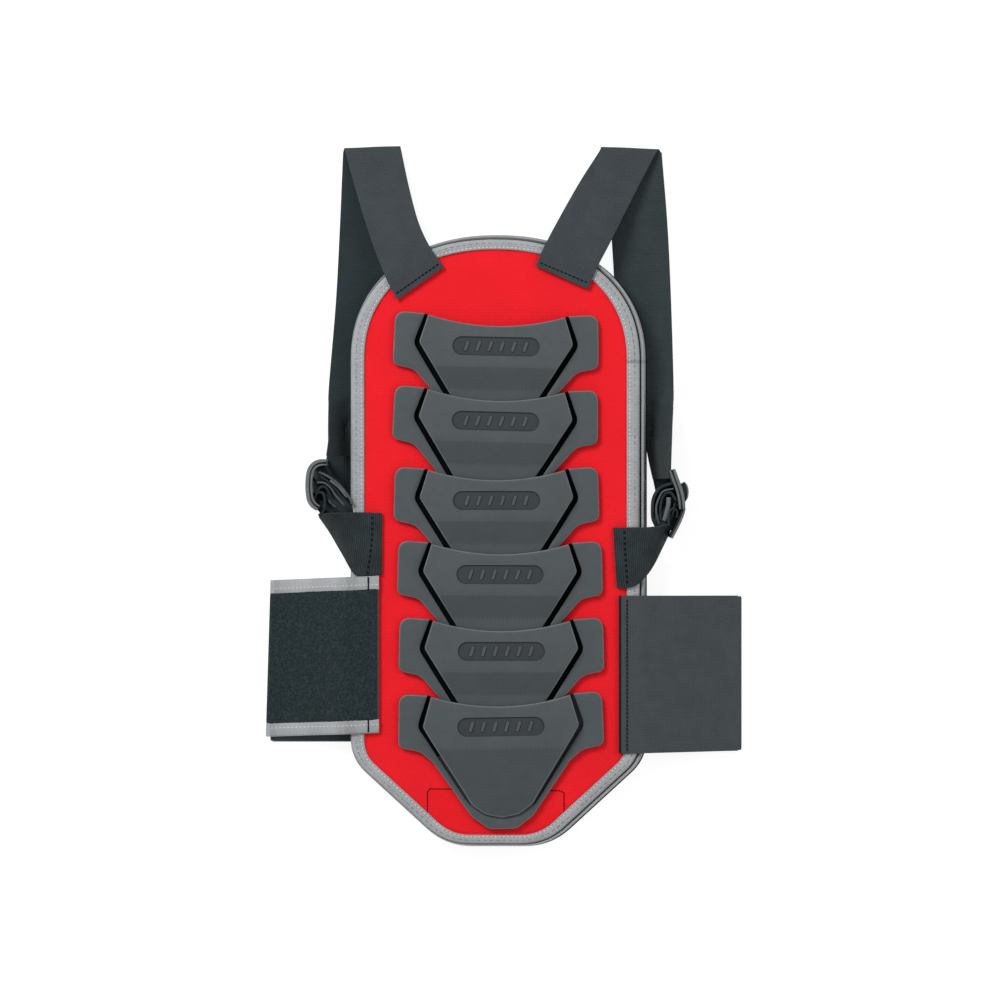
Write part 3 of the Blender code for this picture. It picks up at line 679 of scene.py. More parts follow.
def ribbon(
    shape, rows, thickness, look, columns=14, steps=6, lift=None, under=None, look_of=None, floor=None
):
    """Webbing through rows of points. lift(across, along, length) raises its upper face."""
    edge = [0, 0.004, SELVEDGE]
    share = np.array(edge + list(np.linspace(0.04, 0.96, columns)) + [1 - e for e in edge[::-1]])
    crossed = []
    for row in rows:
        row = np.array(row, float)
        line = spline(row, 12) if len(row) > 2 else row
        run = run_along(line)
        crossed.append(places(share * run[-1], run, line))
    grid = np.stack([spline([row[k] for row in crossed], steps) for k in range(len(share))], 1)
    if floor is not None:
        grid[:, :, 2] = np.maximum(grid[:, :, 2], floor)
    middle = grid[:, len(share) // 2]
    along = run_along(middle)
    width = np.linalg.norm(grid[:, -1] - grid[:, 0], axis=1)
    normal = np.cross(np.gradient(grid, axis=1), np.gradient(grid, axis=0))
    normal /= np.linalg.norm(normal, axis=2)[:, :, None] + TINY
    if normal[0, len(share) // 2, 2] < 0:
        normal = -normal
    edge = np.minimum(share, 1 - share)
    half = thickness / 2 * (0.35 + 0.65 * np.sqrt(np.clip(edge / SELVEDGE, 0, 1)))
    raised = np.zeros(grid.shape[:2])
    if lift is not None:
        for i in range(grid.shape[0]):
            raised[i] = lift(share * width[i], along[i], along[-1])
    upper = grid + normal * (half[None, :, None] + raised[:, :, None])
    lower = grid - normal * half[None, :, None]
    m, k = grid.shape[:2]
    flat = np.array([(share[j] * width[i], along[i]) for i in range(m) for j in range(k)])
    points = np.vstack([upper.reshape(-1, 3), lower.reshape(-1, 3)])
    size = m * k
    faces, looks = [], []
    flip = np.dot(np.cross(grid[1, 1] - grid[0, 1], grid[0, 2] - grid[0, 1]), normal[0, 1]) < 0
    for i in range(m - 1):
        for j in range(k - 1):
            quad = (i * k + j, i * k + k + j, i * k + k + j + 1, i * k + j + 1)
            back = tuple(size + v for v in quad[::-1])
            faces += [quad, back] if not flip else [quad[::-1], back[::-1]]
            looks += [look_of(along[i]) if look_of else look, under or look]
    border = [i * k for i in range(m)] + [(m - 1) * k + j for j in range(1, k)]
    border += [i * k + k - 1 for i in range(m - 2, -1, -1)] + list(range(k - 2, 0, -1))
    for a, b in zip(border, border[1:] + border[:1]):
        wall = (b, a, size + a, size + b)
        faces.append(wall[::-1] if flip else wall)
        looks.append(look)
    shape.add(points, faces, looks, np.vstack([flat, flat]))
    return grid, normal, share, along


def on_edge(shape, path, thickness, low, high, look, taper=0.0):
    """A band standing on its edge along a plan line, with softened edges. low and high may vary."""
    path = np.array(path, float)
    n = len(path)
    ahead = unit(np.gradient(path, axis=0))
    side = np.stack([-ahead[:, 1], ahead[:, 0]], 1)
    t = thickness / 2
    soft = min(0.45, t * 0.6)
    bottom = np.interp(np.linspace(0, 1, n), np.linspace(0, 1, np.size(low)), np.ravel(low))
    top = np.interp(np.linspace(0, 1, n), np.linspace(0, 1, np.size(high)), np.ravel(high))
    section = [(-t, 0, soft), (-t + soft, 0, 0), (t - soft, 0, 0), (t, 0, soft)]
    section += [(t, 1, -soft), (t - soft, 1, 0), (-t + soft, 1, 0), (-t, 1, -soft)]
    rows = len(section)
    points, flat = [], []
    run = run_along(path)
    for i in range(n):
        narrow = 1 - taper * abs(2 * i / (n - 1) - 1) ** 3
        for out, end, shift in section:
            z = (top[i] if end else bottom[i]) + shift
            points.append((*(path[i] + side[i] * out * narrow), z))
            flat.append((z + out, run[i]))
    faces = [tuple(range(rows - 1, -1, -1)), tuple((n - 1) * rows + r for r in range(rows))]
    for i in range(n - 1):
        a, b = i * rows, (i + 1) * rows
        faces += [(a + r, a + (r + 1) % rows, b + (r + 1) % rows, b + r) for r in range(rows)]
    shape.add(points, faces, look, flat)


def wobble(points, size, amount, seed=0.0):
    """Soft uneven height, the same on each run."""
    return np.array([noise.noise(Vector((x / size, y / size, seed))) for x, y in points]) * amount


# Outline and layers of the panel ------------------------------------------------------------------------

PANEL_LOW, PANEL_HIGH = box_mm("front_panel")
PAD_X = (PANEL_LOW[0] + PANEL_HIGH[0]) / 2
PANEL_TOP = PANEL_HIGH[2]
HALF_WIDTH = (PANEL_HIGH[0] - PANEL_LOW[0]) / 2
ARCH = (108.8, PANEL_HIGH[1], 2.2)  # the rounded top: its foot, its crown and the curve's power
ARCH_STEPS = 80
TAPER = (HALF_WIDTH, -209.0, 34)  # lower corners: half width, Y and radius
BOTTOM = (40.0, PANEL_LOW[1], 50)
REAR_GROWTH, REAR_SHIFT = 2.4, 3.2  # the rear outline stands out from the front one
OUTLINE_PITCH = 3.0


def panel_loop():
    """The panel's front outline, anticlockwise from its right side."""
    points = []
    base, top, power = ARCH
    for step in range(ARCH_STEPS + 1):
        angle = math.pi * step / ARCH_STEPS
        across = math.copysign(abs(math.cos(angle)) ** (2 / power), math.cos(angle))
        points.append((HALF_WIDTH * across, base + (top - base) * math.sin(angle) ** (2 / power)))
    corners = [(HALF_WIDTH, base, 0), (-HALF_WIDTH, base, 0)]
    corners += [(-x, y, radius) for x, y, radius in (TAPER, BOTTOM)] + [BOTTOM, TAPER]
    points += rounded(corners, 14)[2:]
    return even(points, OUTLINE_PITCH, True) + np.array([PAD_X, 0])


LOOP = panel_loop()
LOOP_OUT = normals_of(LOOP)


def level(back, out):
    """The outline at a share of the way to the rear one, moved outwards."""
    return LOOP + LOOP_OUT * (out + REAR_GROWTH * back) + np.array([REAR_SHIFT * back, 0])


def sweep(shape, profile, look, uneven=0.0, seed=0.0, narrow=None):
    """A closed band around the panel. The profile's points are (share to the rear, outwards, Z)."""
    rows = []
    for index, (back, out, z) in enumerate(profile):
        flat = level(back, out)
        if narrow is not None and out < 0:
            flat = level(back, 0) + LOOP_OUT * out * narrow[:, None]
        height = z + wobble(flat, 16.0, uneven, seed + index * 0.15)
        rows.append(np.column_stack([flat, height]))
    return ring(shape, rows, look)


JOINTS = {joint["name"]: joint for joint in frame["joints"]}
SPINE = ["shoulder_flex", "mid_flex", "spine_flex", "lumbar_flex", "tail_flex"]
HINGES = [JOINTS[name]["pos_m"][1] / MM for name in SPINE]
SPLITS = [(a + b) / 2 for a, b in zip(HINGES, HINGES[1:])]
BLEND_REACH = 11.0  # the skins bend this far either side of a hinge


def cut(mesh_object, height, keep_above):
    """Removes what is above or below a height along the spine, from an object's mesh."""
    working = bmesh.new()
    working.from_mesh(mesh_object.data)
    geometry = working.verts[:] + working.edges[:] + working.faces[:]
    bmesh.ops.bisect_plane(
        working,
        geom=geometry,
        plane_co=(0, height * MM, 0),
        plane_no=(0, 1, 0),
        clear_inner=keep_above,
        clear_outer=not keep_above,
    )
    working.to_mesh(mesh_object.data)
    working.free()


def along_spine(name, shape, node, stitches=(), sharp=38):
    """Splits a layer in the middle of each segment, and bends each piece over the hinge it crosses."""
    whole = shape.object(name, sharp)
    tops = [None] + SPLITS
    ends = SPLITS + [None]
    for number, (joint, hinge, top, end) in enumerate(zip(SPINE, HINGES, tops, ends), 1):
        piece = whole.copy()
        piece.data = whole.data.copy()
        piece.name = f"{name}_{number}"
        bpy.context.scene.collection.objects.link(piece)
        if top is not None:
            cut(piece, top, False)
        if end is not None:
            cut(piece, end, True)
        piece.data.set_sharp_from_angle(angle=math.radians(sharp))
        first, second = f"segment_{number}", f"segment_{number + 1}"
        place = (0, (hinge + BLEND_REACH) * MM, 0), (0, (hinge - BLEND_REACH) * MM, 0)
        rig.replaces(piece, node)
        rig.blend(piece, first, second, *place)
        rows = Shape()
        for centre, direction, up, length, radius, look in stitches:
            if (top is None or centre[1] <= top) and (end is None or centre[1] > end):
                stitch(rows, centre, direction, up, length, radius, look)
        if rows.points:
            sewn = rows.object(f"{name}_{number}_stitches")
            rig.blend(sewn, first, second, *place)
    bpy.data.objects.remove(whole)


def ring_stitches(back, out, z, pitch, length, radius, look, up=(0, 0, 1), narrow=1.0):
    """Places for stitches around the panel."""
    flat = level(back, 0) + LOOP_OUT * (out * np.reshape(narrow, (-1, 1)))
    line = even(np.column_stack([flat, np.full(len(LOOP), z)]), pitch, True)
    ahead = np.roll(line, -1, 0) - np.roll(line, 1, 0)
    return [(c, a, up, length, radius, look) for c, a in zip(line, ahead)]


BINDING_WIDTH = 9.4
FACING = np.abs(LOOP_OUT[:, 0]) ** 1.5  # 1 where the outline faces sideways
# The tape is narrower where it goes round the top and the bottom
BINDING_NARROW = np.where(LOOP_OUT[:, 1] > 0, 0.74 + 0.24 * FACING, 0.64 + 0.34 * FACING)


def front_height(points):
    """The face fabric's height, padded towards the middle and slightly uneven."""
    rise = 0.75 * smooth(depth_in(points, LOOP), 5.0, 24.0)
    return PANEL_TOP - 0.85 + rise + wobble(points, 28.0, 0.30, 1.7) + wobble(points, 9.0, 0.08, 4.1)


def build_front():
    shape = Shape()
    lines = [(level(0, -d)[::2], True) for d in (6.0, 9.6, 14.0)]
    slab(shape, level(0, -0.3), lines, 5.5, front_height, at_height(PANEL_LOW[2]), "red", clear=2.5)
    along_spine("face_fabric", shape, "front_panel")


def build_front_binding():
    """Grey tape: its front leaf, a rolled edge, and the seam it is sewn down to the gusset with."""
    top = box_mm("front_binding")[1][2]
    profile = [
        (0, -BINDING_WIDTH, top - 1.5), (0, -BINDING_WIDTH - 0.2, top - 0.7), (0, -9.1, top - 0.15),
        (0, -8.2, top + 0.05), (0, -7.3, top - 0.35), (0, -6.4, top + 0.1), (0, -4.4, top + 0.25),
        (0, -2.2, top + 0.15), (0, -0.6, top - 0.2), (0, 0.5, top - 1.0), (0, 0.95, top - 2.0),
        (0, 1.0, top - 3.4), (0.02, 0.9, top - 5.3), (0.02, 0.3, top - 5.3), (0, 0.2, top - 2.4),
        (0, -1.2, top - 1.3), (0, -5.0, top - 1.4),
    ]
    shape = sweep(Shape(), profile, "silver", 0.35, narrow=BINDING_NARROW)
    sewn = ring_stitches(0, -7.3, top, 3.3, 2.2, 0.5, "light_thread", narrow=BINDING_NARROW)
    sewn += ring_stitches(0, -3.0, top + 0.15, 5.1, 3.6, 0.24, "seam_grey_and_painted_highlight", narrow=BINDING_NARROW)
    along_spine("front_tape", shape, "front_binding", sewn)


def build_gusset():
    low, top = (corner[2] for corner in box_mm("side_gusset"))
    height = top - low
    profile = [
        (0.0, 0.7, top + 0.5), (0.1, 0.9, top - height * 0.15), (0.25, 0.9, top - height * 0.35),
        (0.7, 0.2, top - height * 0.65), (1.0, -0.6, low + 0.6), (1.0, -1.6, low),
        (1.0, -2.6, low + 0.6), (0.5, -1.6, low + height * 0.5), (0.0, -0.8, top + 0.2),
    ]
    along_spine("gusset_wall", sweep(Shape(), profile, "gusset", 0.4, 3.0), "side_gusset")


def build_back_binding():
    """The rear tape, and the seam band that shows between the two tapes."""
    low = box_mm("back_binding")[0][2]
    profile = [
        (0.55, 0.2, low + 10.4), (0.7, 0.5, low + 10.8), (0.85, 0.75, low + 9.4), (1, 0.35, low + 7.4),
        (1, -0.3, low + 5.0), (1, -0.8, low + 1.6), (1, -1.8, low + 0.3), (1, -4.0, low),
        (1, -7.4, low + 0.15), (1, -9.2, low + 0.1), (1, -9.5, low + 0.6), (1, -9.0, low + 0.95),
        (1, -3.0, low + 0.9), (1, -1.6, low + 2.2), (1, -0.9, low + 5.4), (0.85, -0.3, low + 8.6),
    ]
    shape = sweep(Shape(), profile, "rear_silver", 0.2, 6.0)
    seam = [
        (0.30, 0.5, 22.0), (0.34, 1.1, 23.4), (0.42, 1.7, 23.6), (0.50, 1.8, 22.6), (0.55, 1.3, 20.4),
        (0.50, 0.4, 19.4), (0.35, 0.1, 20.2),
    ]
    wider = 1 + 0.8 * np.clip(LOOP_OUT[:, 1], 0, 1) ** 2  # the band stands out more round the top
    rows = []
    for back, out, z in seam:
        flat = level(back, 0) + LOOP_OUT * (out * wider)[:, None]
        rows.append(np.column_stack([flat, z + wobble(flat, 16.0, 0.3, 2.0)]))
    ring(shape, rows, "rear_silver")
    sewn = ring_stitches(1, -7.4, low + 0.02, 3.6, 2.3, 0.36, "light_thread", (0, 0, -1))
    along_spine("rear_tape", shape, "back_binding", sewn)


LINING_LOW, LINING_HIGH = box_mm("back_lining")
LINING_X = PAD_X + REAR_SHIFT / 2
QUILT_X = (-74.0, -33.0, 33.0, 74.0)  # lengthwise quilting lines of the lining, from the middle
QUILT_PITCH = 61.1
PIPING_SIDES, PIPING_RADIUS = 8, 1.15


def lining_height(points):
    """The wearer's side, padded between its quilting lines."""
    x = points[:, 0] - LINING_X
    lines = [np.abs(x - q) for q in QUILT_X]
    y = np.abs((points[:, 1] - HINGES[0] + QUILT_PITCH / 2) % QUILT_PITCH - QUILT_PITCH / 2)
    outside = np.abs(x) > QUILT_X[2]
    near = np.minimum.reduce(lines + [np.where(outside, y, 99.0)])
    return LINING_LOW[2] + 1.5 * (1 - smooth(near, 0.0, 9.0)) + wobble(points, 20.0, 0.12, 8.0)


def build_lining():
    shape = Shape()
    quilting = []
    for q in QUILT_X:
        line = np.array([(LINING_X + q, y) for y in np.arange(LINING_LOW[1], LINING_HIGH[1], 3.0)])
        quilting.append((line[inside(line, level(1, -9.8))], False))
    top = at_height(LINING_HIGH[2])
    slab(shape, level(1, -1.4), quilting, 5.0, top, lining_height, "mesh", clear=2.2)
    piping = []
    for k in range(PIPING_SIDES):
        angle = -2 * math.pi * k / PIPING_SIDES
        out, up = PIPING_RADIUS * math.cos(angle), PIPING_RADIUS * math.sin(angle)
        piping.append((1, 0.35 + out, LINING_LOW[2] + 2.6 + up))
    sweep(shape, piping, "gusset")
    sewn = []
    for line, _ in quilting:
        path = even(np.column_stack([line, np.full(len(line), LINING_LOW[2] + 1.3)]), 4.0)
        for here, after in zip(path, path[1:]):
            sewn.append((here, after - here, (0, 0, -1), 2.6, 0.3, "dark_thread"))
    along_spine("lining_mesh", shape, "back_lining", sewn)


# Segments: foam, spine pads and the stakes -------------------------------------------------------------

PLATES = range(1, 7)


def rectangle(low, high, radius):
    """Corners for rounded(), anticlockwise."""
    return [(low[0], low[1], radius), (high[0], low[1], radius), (high[0], high[1], radius),
            (low[0], high[1], radius)]


def clipped(points, low, high):
    """The part of an outline between two heights along the spine."""
    made = np.array(points, float)
    for limit, above in ((low, True), (high, False)):
        kept = []
        for index, here in enumerate(made):
            last = made[index - 1]
            keep = (here[1] >= limit) == above
            if keep != ((last[1] >= limit) == above):
                kept.append(last + (here - last) * (limit - last[1]) / (here[1] - last[1]))
            if keep:
                kept.append(here)
        made = np.array(kept)
    return made


def build_foam(number):
    node = f"foam_block_{number}"
    low, high = box_mm(node)
    loop = resample(clipped(level(0, -3.0), low[1], high[1]), 4.0, True)

    def soft(points):
        return 1.2 * (1 - smooth(depth_in(points, loop), 0, 4))

    def top(points):
        return high[2] - soft(points) + wobble(points, 12, 0.15, 2.0)

    def bottom(points):
        return low[2] + soft(points) + wobble(points, 12, 0.12, 5.0)

    block = slab(Shape(), loop, [], 6.0, top, bottom, "foam", clear=2.0)
    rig.padded(fit(block, f"foam_core_{number}", f"segment_{number}", node, 60), fill=0.9)


PAD_SWELL = 1.3  # how far the cloth solver may move a point
PAD_FRAMES = 20
PAD_PRESSURE = 4.0
PAD_RADIUS = 7.0
PAD_CROWN = 11.0  # the width of the pad's rounded border


def pillow(name, low, high):
    """A flat padded shape with a crowned outer face, in its own mesh."""
    loop = even(rounded(rectangle(low, high, PAD_RADIUS), 8), 2.4, True)
    thick = high[2] - low[2]

    def dome(points):
        border = 1 - np.clip(depth_in(points, loop) / PAD_CROWN, 0, 1)
        crown = np.sqrt(np.clip(1 - border**2, 0, 1))
        return low[2] + thick * 0.62 * (1 - crown) + wobble(points, 11, 0.12, 9.0)

    lines = [(loop * 0.94 + loop.mean(0) * 0.06, True)]
    pad = slab(Shape(), loop, lines, 3.0, at_height(high[2] - 0.2), dome, "mesh", clear=1.2)
    return pad.object(name, 60)


def puff(pad, low, high):
    """Swells the pad with the cloth solver, keeps each point within a small distance, and bakes it."""
    rest = np.array([v.co for v in pad.data.vertices])
    pinned = pad.vertex_groups.new(name="seam")
    pinned.add([i for i, p in enumerate(rest) if p[2] > (high[2] - 0.5) * MM], 1.0, "REPLACE")
    cloth = pad.modifiers.new("puff", "CLOTH")
    cloth.settings.use_pressure = True
    cloth.settings.uniform_pressure_force = PAD_PRESSURE
    cloth.settings.vertex_group_mass = "seam"
    cloth.settings.effector_weights.gravity = 0.0
    cloth.settings.quality = 5
    cloth.point_cache.frame_start = 1
    cloth.point_cache.frame_end = PAD_FRAMES
    for number in range(1, PAD_FRAMES + 1):
        bpy.context.scene.frame_set(number)
    evaluated = pad.evaluated_get(bpy.context.evaluated_depsgraph_get())
    swollen = np.array([v.co for v in evaluated.data.vertices])
    pad.modifiers.remove(cloth)
    bpy.context.scene.frame_set(1)
    move = swollen - rest
    length = np.linalg.norm(move, axis=1)[:, None]
    move *= np.minimum(1.0, PAD_SWELL * MM / (length + TINY))
    final = rest + move
    final[:, 2] = np.clip(final[:, 2], low[2] * MM, high[2] * MM)
    pad.data.vertices.foreach_set("co", final.astype(np.float32).ravel())
    pad.data.update()


def build_spine_pad(number):
    node = f"spine_pad_{number}"
    low, high = box_mm(node)
    pad = pillow(f"spine_cushion_{number}", low + np.array([0.4, 0.4, 0.25]), high)
    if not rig.quick():
        puff(pad, low, high)
    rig.replaces(pad, node)
    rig.ride(pad, f"segment_{number}")
    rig.padded(pad, fill=0.7)


STAKE_SPREAD = 12.5  # of a strip's two stakes, from its middle


def lathe(shape, x, y, profile, look, sides=20):
    """A turned shape from (radius, Z) points, from the bottom to the top."""
    points = [
        (x + r * math.cos(2 * math.pi * k / sides), y + r * math.sin(2 * math.pi * k / sides), z)
        for r, z in profile for k in range(sides)
    ]
    faces = []
    for r in range(len(profile) - 1):
        for k in range(sides):
            here, after, j = r * sides, (r + 1) * sides, (k + 1) % sides
            faces.append((here + k, here + j, after + j, after + k))
    last = (len(profile) - 1) * sides
    faces += [tuple(range(sides - 1, -1, -1)), tuple(last + k for k in range(sides))]
    shape.add(points, faces, look)


def build_stakes(number, side_name):
    """The strip behind a wing and the heads of its two stakes."""
    node = f"plate_{number}_anchor_{side_name}"
    low, high = box_mm(node)
    x, y = (low[0] + high[0]) / 2, (low[1] + high[1]) / 2
    shape = Shape()
    loop = even(rounded(rectangle(low, high, 3), 5), 1.5, True)
    strip_top = low[2] + 0.8
    slab(shape, loop, [], 3.0, at_height(strip_top), at_height(low[2]), "stake")
    head = high[2]
    for dy in (-STAKE_SPREAD, STAKE_SPREAD):
        profile = [(1.95, strip_top - 0.2), (1.95, head - 1.0), (1.85, head - 0.5), (1.45, head - 0.12)]
        profile += [(0.9, head + 0.06), (0.35, head + 0.12)]
        lathe(shape, x, y + dy, profile, "stake")
    fit(shape, f"plate_{number}_stakes_{side_name}", f"segment_{number}", node)


# Plates -------------------------------------------------------------------------------------------------

LIP_DIP, LIP_HALF = 8.0, 54.0
WING_TOP = 5.2
WING = [(57.0, 0.4, 3), (81.2, 2.2, 9), (82.4, -41.0, 7), (65.0, -44.5, 16)]
TONGUE = [(47.5, -65.0, 5), (43.0, -79.5, 4)]
POINT = [(55.0, -53.0, 12), (24.5, -97.0, 12), (11.0, -107.0, 9)]
GROOVE = [(53.2, 8.0), (63.8, -23.0), (39.0, -63.0), (28.4, -80.0)]
POINT_GROOVE = [(54.4, 8.0), (64.6, -24.5), (25.4, -87.0), (13.5, -95.5), (0.0, -98.2)]
RIDGE_PROFILE = [(6, 11.5), (-10, 12.1), (-20, 12.45), (-39, 12.25), (-43.5, 11.7), (-60, 8.5)]
RIDGE_PROFILE += [(-64, 7.9), (-72, 7.2), (-84, 5.4)]
POINT_PROFILE = [(6, 11.5), (-10, 12.1), (-20, 12.45), (-39, 12.25), (-43.5, 11.8), (-80, 9.4), (-112, 6.9)]
RECESS = (34.5, 7.25, -25.0, 1.25)  # half length, half width, Y and depth
RIB_XS = [-23.5 + 9.4 * k for k in range(6)]
RIB_LEAN = math.radians(18)
RIB_HALF = 3.0
RIB_RADIUS = 1.55
SHELL = 3.2


def softened(line, radius):
    """An open line with rounded bends, at a fine even pitch."""
    p = [Vector(v) for v in line]
    made = [p[0]]
    for before, here, after in zip(p, p[1:], p[2:]):
        a, b = (before - here).normalized(), (after - here).normalized()
        run = min(radius, (before - here).length / 2.2, (after - here).length / 2.2)
        for step in range(9):
            t = step / 8
            made.append(here + a * run * (1 - t) ** 2 + b * run * t**2)
    made.append(p[-1])
    return even([tuple(v) for v in made], 1.5)


def beside(line, distance):
    """A line moved sideways by a distance for each point."""
    along = np.gradient(line, axis=0)
    along /= np.linalg.norm(along, axis=1)[:, None] + 1e-9
    return line + np.stack([-along[:, 1], along[:, 0]], 1) * np.reshape(distance, (-1, 1))


def capsule_distance(points, centre, half, angle):
    """How far each point is from the middle line of a slot with round ends."""
    axis = np.array([math.sin(angle), math.cos(angle)])
    offset = points - np.array(centre)
    t = np.clip(offset @ axis, -half, half)
    return np.linalg.norm(offset - t[:, None] * axis, axis=1)


def capsule_loop(centre, half, angle, radius, count=9):
    """The outline of a slot with round ends."""
    axis = np.array([math.sin(angle), math.cos(angle)])
    side = np.array([axis[1], -axis[0]])
    points = []
    for sign in (1, -1):
        for k in range(count):
            turn = math.pi * k / (count - 1)
            direction = side * math.cos(turn) + axis * math.sin(turn)
            points.append(np.array(centre) + sign * (axis * half + direction * radius))
    return np.array(points)


class Plate:
    """One plate's heights, in its own frame."""

    def __init__(self, is_last):
        self.last = is_last
        lower = POINT if is_last else TONGUE
        half = WING + lower
        lip = []
        for step in range(13):
            x = LIP_HALF * (1 - 2 * step / 12)
            lip.append((x, -LIP_DIP * (1 - (x / LIP_HALF) ** 2) - 0.8, 0))
        outline = rounded([(-x, y, r) for x, y, r in half] + half[::-1] + lip, 8)
        self.loop = resample(outline, 2.0, True)
        self.loop = self.loop[np.linalg.norm(self.loop - np.roll(self.loop, 1, 0), axis=1) > 0.05]
        self.groove = softened(POINT_GROOVE if is_last else GROOVE, 3.2)
        self.run = run = run_along(self.groove)
        if is_last:
            self.width = np.interp(
                run, [0, 8, 30, 46, 100, 112, 140], [1.5, 1.5, 2.1, 1.5, 1.2, 0.5, 0.45]
            )
            self.floor = np.interp(run, [0, 40, 90, 112, 140], [1.6, 1.6, 2.6, 4.6, 4.8])
        else:
            self.width = np.interp(run, [0, 8, 34, 50, 140], [1.45, 1.45, 2.15, 2.2, 2.2])
            self.floor = np.interp(run, [0, 74, 84, 140], [1.6, 1.6, 3.0, 3.0])
        self.profile = POINT_PROFILE if is_last else RIDGE_PROFILE

    def parts(self, points):
        """Gap to the groove's middle, its width and floor, if on the ridge, and gap to the outline."""
        mirrored = np.column_stack([np.abs(points[:, 0]), points[:, 1]])
        gap, place = distance_to(mirrored, self.groove)
        order = np.argsort(self.groove[:, 1])
        limit = np.interp(points[:, 1], self.groove[order, 1], self.groove[order, 0])
        within = mirrored[:, 0] < limit
        if self.last:
            within &= points[:, 1] > self.groove[-1, 1]
        width = np.interp(place, self.run, self.width)
        floor = np.interp(place, self.run, self.floor)
        return gap, width, floor, within, depth_in(points, self.loop)

    def ridge(self, points):
        ys = [y for y, _ in self.profile][::-1]
        zs = [z for _, z in self.profile][::-1]
        crown = 0.5 * (1 - (points[:, 0] / 66.0) ** 2)
        return np.interp(points[:, 1], ys, zs) + crown - 0.25

    def recess(self, points):
        half, radius, y, depth = RECESS
        away = capsule_distance(points, (0, y), half - radius, math.pi / 2) - radius
        drop = depth * smooth(-away, -0.35, 0.75)
        for x in RIB_XS:
            rib = capsule_distance(points, (x, y), RIB_HALF, RIB_LEAN) - RIB_RADIUS
            drop = drop - 0.95 * smooth(-rib, -0.3, 0.45)
        return np.maximum(drop, 0)

    def top(self, points):
        gap, width, floor, within, edge = self.parts(points)
        soft = np.clip(edge / 1.3, 0, 1)
        fall = 1.3 * (1 - np.sqrt(1 - (1 - soft) ** 2))
        ridge = self.ridge(points) - self.recess(points)
        bevel = 0.75 * (1 - np.clip((gap - width) / 0.8, 0, 1))
        wing = WING_TOP - 0.35 * (1 - np.clip((gap - width) / 0.6, 0, 1))
        height = np.where(within, ridge - bevel, wing) - fall
        in_groove = gap < width - 0.02
        slope = np.clip((width - gap) / 0.4, 0, 1)
        return np.where(in_groove, height * (1 - slope) + np.minimum(floor, height) * slope, height)

    def bottom(self, points):
        gap, width, floor, within, edge = self.parts(points)
        hollow = (self.ridge(points) - SHELL) * smooth(gap, 2.6, 5.2) * within
        if not self.last:
            hollow = np.maximum(hollow, 2.5 * smooth(-points[:, 1], 52.0, 58.0))
        return np.clip(np.minimum(hollow, self.top(points) - 1.1), 0, None)

    def looks(self, points):
        gap, width, floor, within, edge = self.parts(points)
        half, radius, y, _ = RECESS
        away = capsule_distance(points, (0, y), half - radius, math.pi / 2) - radius
        found = np.full(len(points), "plate", dtype=object)
        lowest = -200 if self.last else -59.5
        # the ridge below its crease takes the darker copy of the plastic: painted shade where it slopes away
        found[within & (points[:, 1] < -42.5) & (points[:, 1] > lowest)] = "plate_slope"
        # the recess floor takes darker plastic as painted shade; its ribs keep the plain plastic below
        found[away < 0.2] = "plate_recess"
        for x in RIB_XS:
            rib = capsule_distance(points, (x, y), RIB_HALF, RIB_LEAN)
            found[rib < RIB_RADIUS - 0.2] = "plate"
        # the rim and the ridge's bevel beside the groove take the lighter plastic: painted highlight
        found[edge < 0.85] = "plate_edge"
        found[(gap < width + 0.75) & within] = "plate_edge"
        # the groove's faces take near-black plastic: painted shade
        found[gap < width - 0.02] = "plate_groove"
        if self.last:
            mirrored = np.column_stack([np.abs(points[:, 0]), points[:, 1]])
            _, place = distance_to(mirrored, self.groove)
            # On the pointed plate, the painted shade in the groove is dark grey on the right half and past 62 mm
            # along, and plain plastic past 108 mm
            soft = (gap < width - 0.02) & ((points[:, 0] > 0) | (place > 62))
            found[soft] = "plate_step"
            found[(gap < width - 0.02) & (place > 108)] = "plate"
        return found

    def lines(self):
        out = normals_of(self.loop)
        made = [(self.loop - out * d, True) for d in (0.35, 0.85, 1.35)]
        for grow, side in itertools.product((0.8, 0.0, -0.42), (1, -1)):
            line = beside(self.groove, side * (self.width + grow))
            if self.last:
                line = line[line[:, 0] > 0.2]
            for mirror in (1, -1):
                made.append((line * np.array([mirror, 1]), False))
        half, radius, y, _ = RECESS
        for grow in (0.35, -0.75):
            slot = capsule_loop((0, y), half - radius, math.pi / 2, radius + grow, 15)
            made.append((resample(slot, 3.0, True), True))
        for x, grow in itertools.product(RIB_XS, (0.3, -0.45)):
            made.append((capsule_loop((x, y), RIB_HALF, RIB_LEAN, RIB_RADIUS + grow), True))
        return made


def plate_solid(plate):
    """The plate's closed mesh in its own frame, in millimetres."""
    lines = []
    for points, closed in plate.lines():
        kept = points if closed else points[inside(points, plate.loop)]
        if len(kept) > 1:
            lines.append((kept, closed))
    return slab(Shape(), plate.loop, lines, 3.2, plate.top, plate.bottom, "plate", plate.looks, clear=1.1)


SETTING = {  # how each plate sits, off its true place: across, along and turned in degrees
    1: (-1.9, -0.4, -1.2), 2: (-2.3, 1.0, -1.5), 3: (-1.6, -1.2, 0.0),
    4: (1.2, 0.8, -0.2), 5: (2.3, 0.6, 0.0), 6: (1.9, 1.6, 0.9),
}


